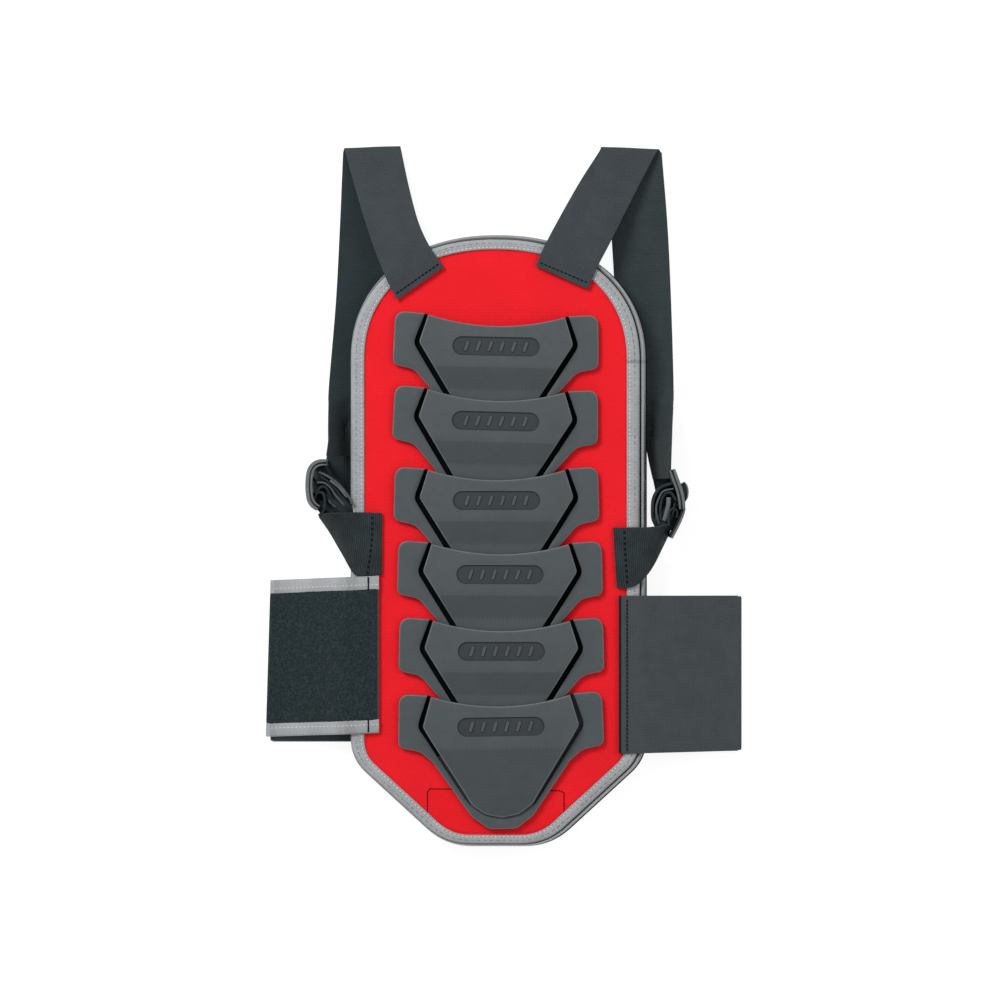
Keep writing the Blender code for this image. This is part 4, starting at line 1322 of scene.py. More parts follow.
def build_plates():
    """Five equal plates and a pointed one, each sewn on a little off its true place."""
    common, last = plate_solid(Plate(False)), plate_solid(Plate(True))
    for number in PLATES:
        node = f"plate_{number}"
        low, high = box_mm(node)
        y = HINGES[number - 2] + 2.0 if number > 1 else HINGES[0] + 2.0 + QUILT_PITCH
        place = np.array([(low[0] + high[0]) / 2, y, low[2]])
        source = last if number == 6 else common
        across, along, turned = SETTING[number]
        turn = math.radians(turned)
        spun = np.array(source.points)
        pivot = np.array([0.0, -22.0])
        x, y = (spun[:, :2] - pivot).T
        spun[:, 0] = pivot[0] + x * math.cos(turn) - y * math.sin(turn) + across
        spun[:, 1] = pivot[1] + x * math.sin(turn) + y * math.cos(turn) + along
        shape = Shape()
        shape.add(spun + place, source.faces, source.looks, source.flat)
        fit(shape, f"plate_shell_{number}", f"segment_{number}", node, 32)


# Pocket patch on the face fabric ------------------------------------------------------------------------

POCKET = ((-62.3, -234.0), (47.5, -235.6))  # its upper corners


def build_pocket():
    (x0, y0), (x1, y1) = POCKET
    inner = level(0, -8.0)
    edge = inner[(inner[:, 1] < -200) & (inner[:, 0] > x0 + 1) & (inner[:, 0] < x1 - 1)]
    edge = edge[np.argsort(edge[:, 0])]
    low_left = np.interp(x0, edge[:, 0], edge[:, 1])
    low_right = np.interp(x1, edge[:, 0], edge[:, 1])
    corners = [(x0, low_left)] + [tuple(p) for p in edge] + [(x1, low_right)]
    corners += [(x1, y1 - 3), (x1 - 3, y1), (x0 + 3, y0), (x0, y0 - 3)]
    loop = resample(corners, 3.0, True)

    def top(points):
        return front_height(points) + 0.32

    def bottom(points):
        return front_height(points) - 0.5

    shape = slab(Shape(), loop, [], 5.0, top, bottom, "pocket", clear=2.0)
    path = resample([
        (x0 + 0.3, low_left), (x0 + 0.3, y0 - 2.5), (x0 + 2.8, y0 - 0.3),
        (x1 - 2.8, y1 - 0.3), (x1 - 0.3, y1 - 2.5), (x1 - 0.3, low_right),
    ], 2.0)
    path = np.column_stack([path, front_height(path) + 0.38])
    stitch_row(shape, path, (0, 0, 1), 2.5, 2.5, 0.42, "red_thread")
    fit(shape, "pocket_patch", "segment_6")


# Straps and tabs ----------------------------------------------------------------------------------------

WEBBING = 1.5
FRONT_ROWS = {  # rows over the strap from its sewn end: inner point, outer point and height
    "left": [
        ((-48.8, 183.2), (-86.4, 156.8), 26.6), ((-60.0, 199.2), (-95.6, 175.2), 27.2),
        ((-69.2, 219.2), (-106.2, 202.4), 23.0), ((-76.8, 247.2), (-117.2, 236.8), 13.0),
        ((-83.0, 276.2), (-127.8, 274.6), 6.4), ((-84.0, 280.6), (-129.4, 278.4), 3.8),
        ((-84.5, 277.8), (-130.0, 276.4), 1.2),
    ],
    "right": [
        ((24.4, 184.0), (66.4, 165.2), 26.6), ((30.4, 197.6), (73.6, 182.4), 27.2),
        ((41.6, 219.2), (84.8, 204.0), 23.0), ((60.0, 252.0), (101.6, 237.6), 13.0),
        ((75.2, 276.0), (120.0, 273.0), 6.4), ((77.0, 280.0), (123.6, 278.0), 3.8),
        ((78.0, 277.4), (125.0, 277.0), 1.2),
    ],
}
REAR_ROWS = {  # rows over the strap from the loop: Y, then X and Z from its inner to its outer edge
    "left": [
        (276.5, (-83.6, 1.2), (-112.0, 1.2), (-130.2, 1.2)),
        (216.0, (-85.5, 1.2), (-115.0, 1.2), (-132.8, 1.2)),
        (156.0, (-87.0, 1.2), (-118.0, 1.2), (-136.0, 1.2)),
        (88.8, (-101.0, 1.0), (-126.4, 1.1), (-141.6, 1.2)),
        (72.8, (-111.0, 1.0), (-127.0, 1.1), (-141.5, 14.0)),
        (56.8, (-120.4, 1.0), (-128.4, 1.1), (-141.0, 31.5)),
        (49.0, (-121.6, 1.0), (-129.4, 1.6), (-140.7, 37.5)),
        (42.6, (-122.2, 1.0), (-131.0, 5.0), (-140.6, 43.0)),
        (32.0, (-122.4, 1.0), (-132.8, 9.0), (-142.0, 45.0)),
    ],
    "right": [
        (276.5, (78.6, 1.2), (107.0, 1.2), (126.0, 1.2)),
        (216.0, (85.0, 1.2), (112.5, 1.2), (130.8, 1.2)),
        (156.0, (88.8, 1.2), (116.0, 1.2), (133.6, 1.2)),
        (88.8, (93.0, 1.0), (118.0, 1.1), (135.6, 1.2)),
        (72.8, (101.0, 1.0), (118.0, 1.1), (134.8, 16.0)),
        (56.8, (108.0, 1.0), (118.4, 1.1), (133.5, 31.0)),
        (49.0, (110.6, 1.0), (118.8, 1.1), (133.0, 38.0)),
        (40.6, (113.2, 1.0), (120.0, 5.0), (132.5, 43.0)),
        (27.0, (116.0, 1.0), (123.4, 9.0), (131.6, 45.0)),
        (14.0, (119.0, 1.0), (125.6, 10.0), (131.0, 42.0)),
    ],
}
TAB_ROWS = {  # rows over the tab from the buckle, with X, Y and Z from its upper to its lower edge
    "left": [
        ((-148.6, -15.2, 44.0), (-148.6, -16.2, 25.0), (-148.2, -17.2, 6.0)),
        ((-139.0, -13.8, 42.5), (-139.6, -19.5, 28.0), (-140.2, -29.0, 12.0)),
        ((-128.0, -13.2, 36.0), (-128.8, -27.0, 31.0), (-130.0, -46.6, 22.0)),
        ((-116.0, -13.0, 29.6), (-117.4, -36.0, 28.5), (-120.8, -62.2, 27.0)),
        ((-107.0, -13.2, 27.6), (-107.6, -38.0, 27.4), (-111.4, -63.8, 27.2)),
        ((-98.4, -13.6, 25.7), (-98.4, -38.0, 25.7), (-98.4, -63.2, 25.7)),
    ],
    "right": [
        ((131.6, -22.4, 44.0), (132.0, -24.5, 25.0), (132.4, -27.0, 6.0)),
        ((124.0, -23.6, 40.0), (125.6, -32.0, 30.0), (125.4, -42.0, 19.0)),
        ((115.0, -24.8, 33.0), (117.0, -40.0, 30.0), (116.2, -59.6, 25.5)),
        ((105.0, -25.1, 28.6), (106.0, -47.0, 28.0), (106.8, -70.2, 27.2)),
        ((96.0, -25.1, 27.0), (97.0, -49.0, 27.0), (98.6, -73.6, 27.0)),
        ((86.4, -25.1, 25.7), (87.8, -49.0, 25.7), (89.4, -73.4, 25.7)),
    ],
}
HEM = 6.2  # how far the folded end reaches
HEM_STITCH = 4.4
TAB_STITCH = 8.8


def across_row(grid, normal, share, along, distance, lift, start=0.03, stop=0.97):
    """A line across the webbing at a distance along it, raised off its surface, and its normals."""
    index = np.interp(distance, along, np.arange(len(along)))
    i = min(int(index), len(along) - 2)
    t = index - i
    row = grid[i] * (1 - t) + grid[i + 1] * t
    up = normal[i] * (1 - t) + normal[i + 1] * t
    kept = (share >= start) & (share <= stop)
    return (row + up * lift)[kept], up[kept]


def build_front_strap(side_name):
    rows = [[(*a, z), (*b, z)] for a, b, z in FRONT_ROWS[side_name]]

    def lift(across, along, length):
        hem = 0.75 * float(smooth(np.array(HEM - along), 0.0, 0.5))
        dent = 0.45 * math.exp(-(((along - HEM_STITCH) / 0.6) ** 2))
        return hem - dent + 0.12 * np.sin(across / 7.0 + along / 23.0)

    shape = Shape()
    rows.insert(1, [tuple(np.array(a) * 0.85 + np.array(b) * 0.15) for a, b in zip(*rows[:2])])
    # the strap's underside takes the darker webbing: painted shade
    surface = ribbon(shape, rows, WEBBING, "webbing", lift=lift, steps=8, under="painted_shade_webbing")
    line, up = across_row(*surface, HEM_STITCH, WEBBING / 2 + 0.62)
    stitch_row(shape, line, up, 3.5, 2.9, 0.55, "dark_thread")
    fit(shape, f"strap_front_{side_name}", "segment_1", f"shoulder_strap_{side_name}", 50)


def build_rear_strap(side_name):
    rows = [[(x, y, z) for x, z in points] for y, *points in REAR_ROWS[side_name]]

    def ripple(across, along, length):
        return 0.15 * np.sin(across / 9.0 + along / 31.0)

    shape = Shape()
    # the rear straps take the darker webbing as painted shade, the right one a lighter shade
    look = "painted_shade_webbing" if side_name == "left" else "painted_shade_webbing_right"
    ribbon(shape, rows, WEBBING, look, lift=ripple, steps=6, columns=16, floor=1.0)
    name = f"rear_strap_{side_name}"
    fit(shape, f"strap_rear_{side_name}", name, name, 50)


def pivot_of(side_name):
    x, y, _ = JOINTS[f"buckle_pivot_{side_name}"]["pos_m"]
    return np.array([x, y]) / MM


def local(points, side_name):
    """Points of the buckle's own frame in the protector's frame."""
    return pivot_of(side_name) + np.array(points, float) * np.array([SIDES[side_name], 1])


def build_tab(side_name):
    rows = TAB_ROWS[side_name]

    def lift(across, along, length):
        left = length - along
        hem = 0.5 * float(smooth(np.array(TAB_STITCH + 3 - left), 0.0, 0.8))
        dent = 0.5 * math.exp(-(((left - TAB_STITCH) / 0.7) ** 2))
        folds = 0.4 * np.sin(across / 4.2) * math.exp(-along / 12.0)
        return hem - dent + folds

    shape = Shape()
    surface = ribbon(shape, rows, WEBBING, "tab", lift=lift, steps=8, columns=18)
    length = surface[3][-1]
    line, up = across_row(*surface, length - TAB_STITCH, WEBBING / 2 + 0.35)
    stitch_row(shape, line, up, 4.4, 2.4, 0.85, "dark_thread")
    ring_path = even(spline(BUCKLES[side_name]["ring"], 5), 1.2)
    on_edge(shape, local(ring_path, side_name), 1.7, (7.0, 7.0), (42.0, 44.5), "tab")
    fit(shape, f"tab_{side_name}", "segment_4", f"buckle_tab_{side_name}", 50)


# Buckles, in their own frame: X outwards from the bar that holds the tab, and Y to the strap -----------

BUCKLE_LOW, BUCKLE_HIGH = 1.0, 49.5
RAIL = 3.6
BAR_THICKNESS, BAR_INSET = 4.0, 2.0
TAIL_TOP, TAIL_BOTTOM = 0.42, -0.38
# arc: the frame's middle line. bands: offset, thickness and look of its layers. bars: from and to along Y.
# layers: the strap's turns, with thickness, look and heights at both ends. ring: the tab's turn.
# under and bunch: the strap's flat return and its folds, in the protector's frame.
BUCKLES = {
    "left": {
        "arc": [(-0.5, 1.0), (3.6, 4.2), (6.0, 9.5), (6.7, 19.3), (5.8, 29.0), (3.0, 34.2), (-1.5, 36.6),
                (-7.0, 37.0)],
        "bands": [(-1.7, 3.0, "buckle"), (0.25, 1.1, "buckle_core"), (1.55, 1.7, "buckle")],
        "bars": [(1.0, 4.0), (9.0, 14.0), (21.0, 26.0), (33.0, 36.8)],
        # the light layers are painted light on the turned edges, the dark ones painted shade
        "layers": [
            ([(-0.6, 29.7), (-9.0, 25.3), (-17.0, 18.5), (-25.0, 8.5), (-26.6, 4.1)], 1.7, "webbing_painted_light",
             (44.5, 31)),
            # a grey streak: painted highlight on the turned webbing
            ([(-9.6, 22.9), (-16.2, 17.3), (-22.6, 9.5)], 1.4, "seam_grey_and_painted_highlight", (42, 33)),
            ([(-1.8, 26.3), (-8.2, 21.7), (-14.2, 15.5), (-22.4, 4.9)], 1.8, "painted_shade_webbing", (43, 29)),
            ([(0.8, 21.3), (-5.0, 20.9), (-9.8, 17.0), (-14.0, 10.6), (-20.6, 2.9)], 1.5, "webbing_painted_light", (43, 30)),
            ([(1.4, 13.5), (-1.8, 17.6), (-5.8, 17.4), (-8.6, 12.7), (-11.0, 7.0), (-16.2, 3.4),
              (-22.6, 0.4)], 2.0, "painted_shade_webbing", (43, 28)),
            ([(-8.2, 7.4), (-11.4, 3.2), (-17.0, 0.2)], 1.4, "webbing_painted_light", (40, 30)),
        ],
        "ring": [(2.0, 4.0), (2.4, 9.7), (-0.4, 13.3), (-4.2, 12.1), (-5.4, 5.7), (-4.6, -0.4), (-2.6, -3.4),
                 (-0.4, -4.8)],
        "under": [(-121.3, 52.0), (-140.2, 52.0), (-141.2, 44.0), (-143.2, 33.0), (-144.2, 27.0),
                  (-149.4, 25.6), (-151.6, 20.0), (-142.0, 12.0), (-121.3, -10.0)],
        "bunch": [(-153.2, 12.0), (-152.8, -2.0), (-150.2, -9.4), (-146.0, -17.0), (-121.8, -15.6),
                  (-121.8, -8.0), (-123.6, -0.6), (-131.0, 9.6), (-139.0, 17.4), (-142.6, 25.0),
                  (-149.8, 25.0), (-153.0, 20.4)],
    },
    "right": {
        "arc": [(7.0, 8.1), (6.4, 15.3), (4.6, 23.3), (1.4, 32.1), (-1.0, 39.3)],
        "bands": [(-1.7, 2.6, "buckle"), (0.1, 1.2, "buckle_core"), (1.5, 1.9, "buckle")],
        "bars": [(8.1, 11.0), (17.0, 21.0), (26.0, 30.0), (36.0, 39.0)],
        # the light layers are painted light on the turned edges, the dark ones painted shade
        "layers": [
            ([(-0.6, 28.5), (-8.2, 25.9), (-12.2, 22.5), (-15.0, 16.9), (-15.9, 10.5), (-15.7, 0.9),
              (-13.4, -4.9)], 2.0, "painted_shade_webbing", (43, 30)),
            ([(0.4, 24.3), (-7.4, 22.5), (-10.6, 17.7), (-12.9, 11.3), (-12.9, 4.1), (-10.6, -3.9)], 1.4,
             "webbing_painted_light", (44, 33)),
            ([(2.4, 15.3), (-1.4, 20.9), (-6.0, 20.5), (-8.8, 15.3), (-9.8, 7.3), (-8.6, -2.3)], 1.9,
             "painted_shade_webbing", (44, 34)),
            # a grey streak: painted highlight on the turned webbing
            ([(-3.2, 17.4), (-3.8, 9.9), (-6.6, -1.1)], 3.4, "seam_grey_and_painted_highlight", (42, 38)),
            ([(1.6, 12.6), (0.2, 6.0), (-3.2, -2.6)], 1.8, "painted_shade_webbing", (43, 40)),
        ],
        "knob": [(7.2, 28.4), (8.9, 25.8), (9.6, 22.3), (9.2, 18.2), (7.6, 15.0)],
        "lever": [(9.2, 8.8), (7.8, 3.0), (3.8, -6.0), (-1.0, -15.1)],
        "ring": [(3.4, 1.0), (3.6, 6.0), (0.6, 8.6), (-2.4, 6.4), (-3.4, 0.4), (-3.0, -4.2)],
        "under": [(113.4, 52.0), (116.2, 27.0), (121.4, 2.0), (121.4, -24.0), (131.0, -31.0),
                  (136.0, -24.0), (134.8, 4.0), (133.6, 20.0), (134.6, 52.0)],
        "bunch": [(133.2, 12.0), (126.0, 8.6), (121.6, 4.6), (118.6, -1.6), (117.6, -8.0), (117.9, -18.0),
                  (120.0, -25.4), (131.6, -28.6), (136.4, -23.6), (140.0, -15.6), (141.4, -9.6), (139.8, -2.0),
                  (137.4, 5.0), (135.0, 13.6)],
    },
}


def build_buckle(side_name):
    plan = BUCKLES[side_name]
    arc = spline(plan["arc"], 6)
    shape = Shape()
    for offset, thickness, look in plan["bands"]:
        # the near-black middle band sits lower: painted shade between the frame's rails
        drop = 0.8 if look == "buckle_core" else 0.0
        path = local(beside(arc, offset), side_name)
        for low, high in ((BUCKLE_LOW, BUCKLE_LOW + RAIL), (BUCKLE_HIGH - RAIL, BUCKLE_HIGH)):
            on_edge(shape, path, thickness, low + drop, high - drop, look, taper=0.25)
    for low, high in plan["bars"]:
        part = arc[(arc[:, 1] >= low - 0.6) & (arc[:, 1] <= high + 0.6)]
        if len(part) > 1:
            low_z, high_z = BUCKLE_LOW + BAR_INSET, BUCKLE_HIGH - BAR_INSET
            on_edge(shape, local(part, side_name), BAR_THICKNESS, low_z, high_z, "buckle")
    if "knob" in plan:
        knob = spline(plan["knob"], 5)
        # the knob's core takes the dark grey that also paints shade in the last plate's groove
        on_edge(shape, local(knob, side_name), 3.0, 12.0, 43.0, "plate_step", taper=0.3)
        on_edge(shape, local(beside(knob, 2.2), side_name), 1.4, 13.0, 44.0, "buckle", taper=0.6)
        lever = spline(plan["lever"], 5)
        on_edge(shape, local(lever, side_name), 1.7, 8.0, 46.5, "buckle")
        # a near-black line beside the lever: painted shade
        on_edge(shape, local(beside(lever, -1.5), side_name), 1.6, 8.0, 45.0, "buckle_core")
    body = f"buckle_{side_name}"
    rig.slot(fit(shape, f"buckle_frame_{side_name}", body, body, 40), "buckle_plastic")
    loops = Shape()
    for path, thickness, look, (start, end) in plan["layers"]:
        path = local(even(spline(path, 6), 1.2), side_name)
        tops = np.linspace(start, end, 5) + np.array([0, 0.5, -0.3, 0.4, 0])
        on_edge(loops, path, thickness, (9.0, 14.0), tops, look)
    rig.slot(fit(loops, f"strap_curl_{side_name}", body, f"strap_loop_{side_name}", 45), "webbing")
    crumpled = even(rounded([(x, y, 3) for x, y in plan["bunch"]], 4), 2.0, True)

    def folds(points):
        away = np.linalg.norm(points - pivot_of(side_name), axis=1)
        turned = points @ np.array([0.75, SIDES[side_name] * -0.66])
        soft = 3 * (1 - smooth(depth_in(points, crumpled), 0, 3))
        return 37 - 0.35 * away + 1.6 * np.sin(turned / 1.15) - soft

    # the folds and the flat return below take the darker webbing: painted shade
    bunch = slab(Shape(), crumpled, [], 1.6, folds, at_height(12.0), "painted_shade_webbing", clear=0.9)
    fit(bunch, f"strap_folds_{side_name}", body, sharp=60)
    flat = resample(plan["under"], 3.0, True)
    top, bottom = at_height(TAIL_TOP), at_height(TAIL_BOTTOM)
    tail = slab(Shape(), flat, [], 6.0, top, bottom, "painted_shade_webbing", clear=2.0)
    fit(tail, f"strap_return_{side_name}", body, sharp=45)


# Waist belt ---------------------------------------------------------------------------------------------

BELT = {  # distances out from the panel's middle, and Y of the upper and lower edge at both ends
    "left": {"sewn": 93.2, "fold": 179.0, "top": (-64.2, -68.0), "bottom": (-188.9, -192.8), "slant": 1.9},
    "right": {"sewn": 98.6, "fold": 194.6, "top": (-79.6, -79.9), "bottom": (-206.0, -204.6), "slant": 0.0},
}
BELT_ROUTE = [(109.0, 26.9), (116.6, 27.0), (124.0, 25.4)]
BELT_BINDING = 10.4
BINDING_SECTION = [  # out from the belt's edge, and height as a share of its thickness
    (-BELT_BINDING, 0.55), (-BELT_BINDING - 0.1, 1.0), (-9.4, 1.15), (-5.2, 1.12), (-1.2, 1.0),
    (0.2, 0.75), (0.55, 0.5), (0.55, 0.2), (0.1, 0.0), (-4.0, -0.05), (-9.6, -0.02),
    (-9.6, 0.13), (-1.6, 0.2), (-0.6, 0.3), (-0.6, 0.45), (-1.5, 0.62),
]


def belt_route(side_name):
    """X and Z along a belt half, from its seam to its fold."""
    belt = BELT[side_name]
    fold = belt["fold"]
    route = [(belt["sewn"], 26.6)] + BELT_ROUTE + [(fold - 34, 15.2), (fold - 12, 8.4), (fold, 6.3)]
    path = spline(route, 8)
    path[:, 0] = PAD_X + SIDES[side_name] * path[:, 0]
    return path


def belt_rows(side_name, low, high, lift, start=0.0):
    """Rows of points over the belt. low and high are distances in from its lower and upper edge."""
    belt = BELT[side_name]
    path = belt_route(side_name)
    normal = beside(path, 1.0) - path
    if normal[0, 1] < 0:
        normal = -normal
    share = (np.abs(path[:, 0] - PAD_X) - belt["sewn"]) / (belt["fold"] - belt["sewn"])
    rows = []
    for (x, z), (nx, nz), s in zip(path, normal, share):
        if s * (belt["fold"] - belt["sewn"]) < start - 0.01:
            continue
        top = belt["top"][0] + (belt["top"][1] - belt["top"][0]) * s
        bottom = belt["bottom"][0] + (belt["bottom"][1] - belt["bottom"][0]) * s
        px, pz = x + nx * lift, z + nz * lift
        slant = belt["slant"] * s
        rows.append([(px - slant, bottom + low, pz), (px + slant, top - high, pz)])
    return rows


def build_belt_half(side_name):
    shape = Shape()
    edge = 0.6 if side_name == "left" else 0.0
    rows = belt_rows(side_name, edge, edge, 0.0)

    def lift(across, along, length):
        if side_name == "left":
            return np.zeros_like(across)
        hem = 0.7 * float(smooth(np.array(7.4 - along), 0.0, 0.5))
        dent = 0.55 * math.exp(-(((along - 6.6) / 0.6) ** 2))
        return hem - dent + 0.12 * np.sin(across / 19.0) * np.sin(along / 17.0)

    # the right half's first 1.6 mm from its seam takes the near-black gusset cloth: painted shade at its turned edge
    def painted_shade_edge_look(along):
        return "gusset" if side_name == "right" and along < 1.6 else "elastic"

    surface = ribbon(shape, rows, 1.6, "elastic", columns=40, steps=2, lift=lift, look_of=painted_shade_edge_look)
    if side_name == "right":
        line, up = across_row(*surface, 6.6, 0.8 + 0.5, 0.01, 0.99)
        stitch_row(shape, line, up, 3.2, 2.7, 0.5, "dark_thread")
    fit(shape, f"belt_half_{side_name}", "segment_5", f"belt_{side_name}", 50)


def build_pile():
    """The left half's fuzzy face."""
    rows = belt_rows("left", BELT_BINDING - 0.6, BELT_BINDING - 0.6, 1.6, 1.0)
    shape = Shape()

    def fuzz(across, along, length):
        spots = [noise.noise(Vector((a / 1.9, along / 1.9, 2.0))) * 0.35 for a in across]
        waves = [noise.noise(Vector((a / 24.0, along / 24.0, 5.0))) * 0.3 for a in across]
        return np.array(spots) + np.array(waves)

    ribbon(shape, rows, 1.6, "pile", columns=72, steps=2, lift=fuzz)
    fit(shape, "belt_pile_left", "segment_5", "belt_left_loop_pile", 80)


def build_belt_bindings():
    """Grey tape folded round the left half's upper and lower edges."""
    for end, sign in (("top", 1), ("bottom", -1)):
        belt = BELT["left"]
        upper = belt_rows("left", 0, 0, 1.9)
        lower = belt_rows("left", 0, 0, -1.2)
        pick = 1 if sign > 0 else 0
        shape = Shape()
        points, flat, faces = [], [], []
        count = len(BINDING_SECTION)
        for i, (a, b) in enumerate(zip(upper, lower)):
            over, beneath = np.array(a[pick]), np.array(b[pick])
            for out, height in BINDING_SECTION:
                p = beneath + (over - beneath) * height
                p = p + np.array([0, sign * out, 0])
                p[2] += 0.16 * noise.noise(Vector((p[0] / 9.0, out / 4.0, sign))) if height > 0.5 else 0
                points.append(p)
                flat.append((out + height * 3, i * 3.0))
        for i in range(len(upper) - 1):
            for k in range(count):
                quad = (i * count + k, i * count + (k + 1) % count)
                quad += ((i + 1) * count + (k + 1) % count, (i + 1) * count + k)
                faces.append(quad if sign < 0 else quad[::-1])
        last = (len(upper) - 1) * count
        caps = [tuple(range(count)), tuple(last + k for k in range(count - 1, -1, -1))]
        faces += caps if sign > 0 else [c[::-1] for c in caps]
        shape.add(points, faces, "silver", flat)
        line = np.array([np.array(a[pick]) + np.array([0, -sign * 6.4, 0.45]) for a in upper])
        stitch_row(shape, line, (0, 0, 1), 3.4, 2.2, 0.34, "light_thread")
        x = PAD_X - belt["sewn"] - 8.4
        z = float(np.interp(-x, [-p[pick][0] for p in upper], [p[pick][2] for p in upper])) + 0.5
        y0 = upper[2][pick][1] - sign * 0.4
        bar = [(x, y0, z), (x, y0 - sign * BELT_BINDING, z)]
        stitch_row(shape, bar, (0, 0, 1), 1.7, 2.0, 0.7, "dark_thread")
        fit(shape, f"belt_tape_{end}", "segment_5", f"belt_left_{end}_binding", 50)


def flap_part(shape, low, high, look, radius=4, uneven=0.1):
    """A flat layer of a folded belt half, between two corners."""
    loop = even(rounded(rectangle(low, high, radius), 5), 3.0, True)

    def soft(points):
        return 0.35 * (1 - smooth(depth_in(points, loop), 0, 1.0))

    def top(points):
        return high[2] - soft(points)

    def bottom(points):
        return low[2] + soft(points) + np.abs(wobble(points, 6.0, uneven, 3.0))

    inner = loop + normals_of(loop) * -1.0
    slab(shape, loop, [(inner, True)], 4.0, top, bottom, look, clear=1.6)


def build_flap(side_name):
    body = f"belt_flap_{side_name}"
    low, high = box_mm(f"belt_{side_name}_flap")
    side = SIDES[side_name]
    shape = Shape()
    flap_part(shape, low, high, "elastic")
    inner_x = high[0] if side < 0 else low[0]
    for dx in (3.0, 6.5):
        x = inner_x + side * dx
        line = [(x, low[1] + 2, low[2] - 0.05), (x, high[1] - 2, low[2] - 0.05)]
        stitch_row(shape, line, (0, 0, -1), 3.4, 2.4, 0.26, "dark_thread")
    fit(shape, f"belt_flap_base_{side_name}", body, f"belt_{side_name}_flap", 50)
    node = "belt_left_flap_pile" if side_name == "left" else "hook_patch"
    inner_low, inner_high = box_mm(node)
    shape = Shape()
    flap_part(shape, inner_low, inner_high, "pile" if side_name == "left" else "hook", 3, 0.35)
    if side_name == "right":
        corners = [(inner_low[0] + 2, inner_low[1] + 2), (inner_high[0] - 2, inner_low[1] + 2),
                   (inner_high[0] - 2, inner_high[1] - 2), (inner_low[0] + 2, inner_high[1] - 2)]
        path = np.array([(*c, inner_high[2] + 0.02) for c in corners + corners[:1]])
        stitch_row(shape, path, (0, 0, 1), 3.2, 2.3, 0.28, "light_thread")
    fit(shape, "belt_flap_pile_left" if side_name == "left" else "belt_hook_right", body, node, 60)
    if side_name == "left":
        for end, y, sign in (("top", high[1], 1), ("bottom", low[1], -1)):
            tape = Shape()
            y_low, y_high = sorted((y - sign * 9.6, y + sign * 0.5))
            tape_low, tape_high = (low[0], y_low, low[2] - 1.1), (high[0], y_high, low[2] - 0.05)
            flap_part(tape, tape_low, tape_high, "silver", 1.0)
            line = [(x, y - sign * 6.4, low[2] - 1.12) for x in (low[0] + 2, high[0] - 2)]
            stitch_row(tape, line, (0, 0, -1), 3.4, 2.2, 0.3, "light_thread")
            fit(tape, f"belt_flap_tape_{end}", body, sharp=50)


def build_fold(side_name):
    """The webbing that turns over at the fold, between the sewn half and the flap."""
    belt = BELT[side_name]
    side = SIDES[side_name]
    path = belt_route(side_name)
    x, z_top = path[-1]
    low, high = box_mm(f"belt_{side_name}_flap")
    z_low = (low[2] + high[2]) / 2
    centre, radius = (z_top + z_low) / 2, (z_top - z_low) / 2
    turn = np.linspace(math.pi / 2, -math.pi / 2, 15)
    arc = [(x + side * radius * 0.9 * math.cos(a), centre + radius * math.sin(a)) for a in turn]
    arc = [(x - side * 1.2, z_top + 0.2)] + arc + [(x - side * 2.4, z_low)]
    top, bottom = belt["top"][1], belt["bottom"][1]
    slant = belt["slant"]
    rows = [[(px - slant, bottom + 0.6, pz), (px + slant, top - 0.6, pz)] for px, pz in arc]
    shape = Shape()
    ribbon(shape, rows, 1.5, "elastic", columns=20, steps=2)
    if side_name == "left":
        inset = BELT_BINDING
        raised = []
        for (px, pz), a in zip(arc[1:-1], turn):
            out = 1.45 if abs(pz - centre) < radius * 0.99 else 0.0
            raised.append((px + side * out * max(0.0, math.cos(a)), pz + 1.5 * math.sin(a)))
        covers = (
            ("pile", bottom + inset, top - inset), ("silver", bottom - 0.4, bottom + inset - 0.2),
            ("silver", top - inset + 0.2, top + 0.4),
        )
        for look, a, b in covers:
            lean = [slant * (2 * (y - bottom) / (top - bottom) - 1) for y in (a, b)]
            cover = [[(px + lean[0], a, pz), (px + lean[1], b, pz)] for px, pz in raised]
            ribbon(shape, cover, 1.2, look, columns=24 if look == "pile" else 6, steps=2)
    fold = shape.object(f"belt_fold_{side_name}", 50)
    start = (x * MM, -0.136, (centre + radius * 0.8) * MM)
    end = (x * MM, -0.136, (centre - radius * 0.8) * MM)
    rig.slot(fold, "elastic")
    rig.blend(fold, "segment_5", f"belt_flap_{side_name}", start, end)


# Scene --------------------------------------------------------------------------------------------------


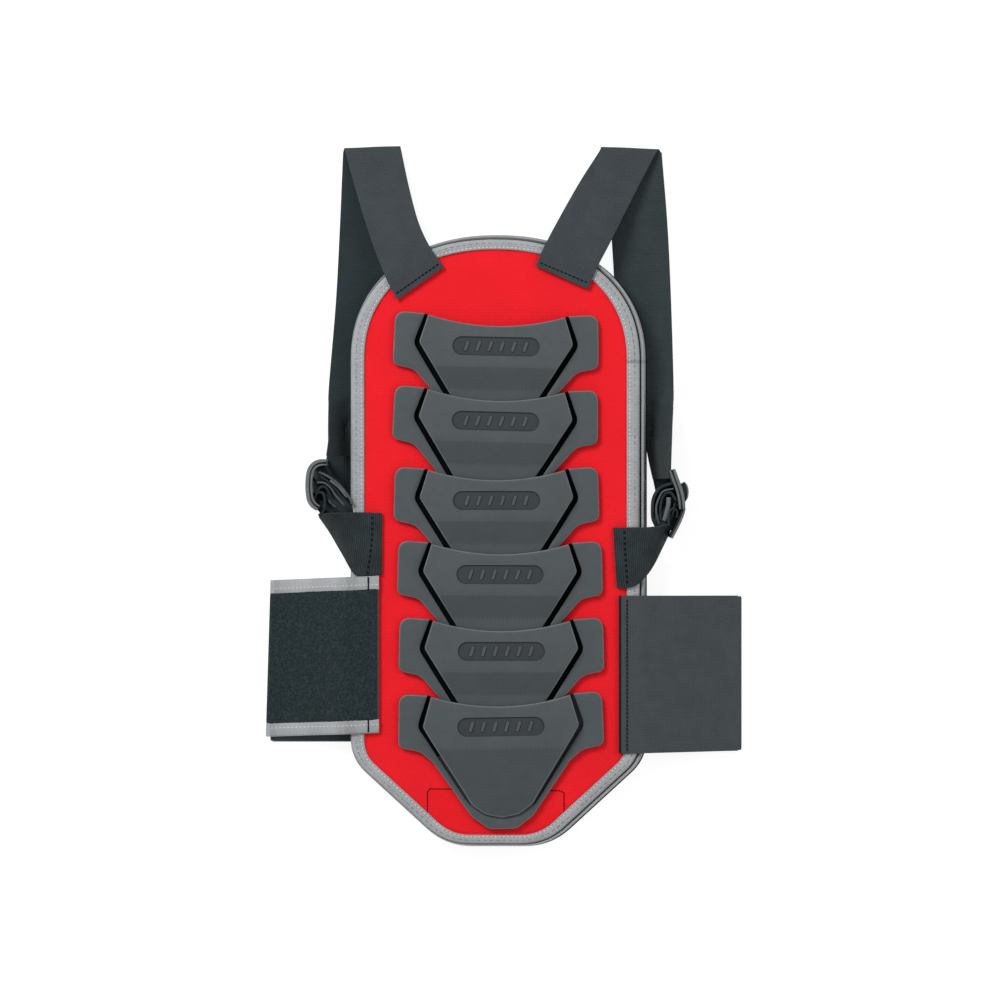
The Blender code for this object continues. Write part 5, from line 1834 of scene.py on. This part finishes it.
def build_stage():
    """The white sheet that the protector lies on."""
    bpy.ops.mesh.primitive_plane_add(size=8.0, location=(0, 0, -0.0006))
    floor = bpy.context.object
    floor.name = "floor"
    s = Shader("floor", 0.9, specular=0.0)
    s.out.inputs["Base Color"].default_value = (0.22, 0.22, 0.22, 1)
    s.out.inputs["Emission Color"].default_value = (1, 1, 1, 1)
    s.out.inputs["Emission Strength"].default_value = 0.86
    floor.data.materials.append(s.finish())
    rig.stage(floor)


def add_light(name, place, size, power):
    light = bpy.data.lights.new(name, "AREA")
    light.shape = "DISK"
    light.size = size
    light.energy = power
    made = bpy.data.objects.new(name, light)
    made.location = place
    made.rotation_euler = (-Vector(place)).to_track_quat("-Z", "Y").to_euler()
    bpy.context.scene.collection.objects.link(made)


def build_lights():
    world = bpy.data.worlds.new("studio")
    world.use_nodes = True
    background = world.node_tree.nodes["Background"]
    background.inputs["Color"].default_value = (1, 1, 1, 1)
    background.inputs["Strength"].default_value = 0.62
    bpy.context.scene.world = world
    add_light("key", (-1.3, 1.5, 2.2), 1.2, 62)
    add_light("fill", (1.7, 0.3, 2.4), 2.0, 16)
    bpy.context.scene.view_settings.view_transform = "Standard"


def build_camera():
    """Straight above, the shoulders up, with a long lens."""
    camera = bpy.data.cameras.new("camera")
    camera.lens = 200
    camera.sensor_width = 36
    span = 0.8
    distance = span * camera.lens / camera.sensor_width
    made = bpy.data.objects.new("camera", camera)
    made.location = (-0.004, -0.0032, PANEL_TOP * MM + distance)
    made.rotation_euler = (0, 0, 0)
    bpy.context.scene.collection.objects.link(made)
    bpy.context.scene.camera = made


build_front()
build_front_binding()
build_gusset()
build_back_binding()
build_lining()
for number in PLATES:
    build_foam(number)
    build_spine_pad(number)
    for side_name in SIDES:
        build_stakes(number, side_name)
build_plates()
build_pocket()
for side_name in SIDES:
    build_front_strap(side_name)
    build_rear_strap(side_name)
    build_tab(side_name)
    build_buckle(side_name)
    build_belt_half(side_name)
    build_flap(side_name)
    build_fold(side_name)
build_pile()
build_belt_bindings()
build_stage()
build_lights()
build_camera()

VISUAL_BOX = [list(corner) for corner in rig.bounds()]
with open("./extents.json", "w") as size_file:
    json.dump({"cad": CAD_BOX, "visual": VISUAL_BOX}, size_file)
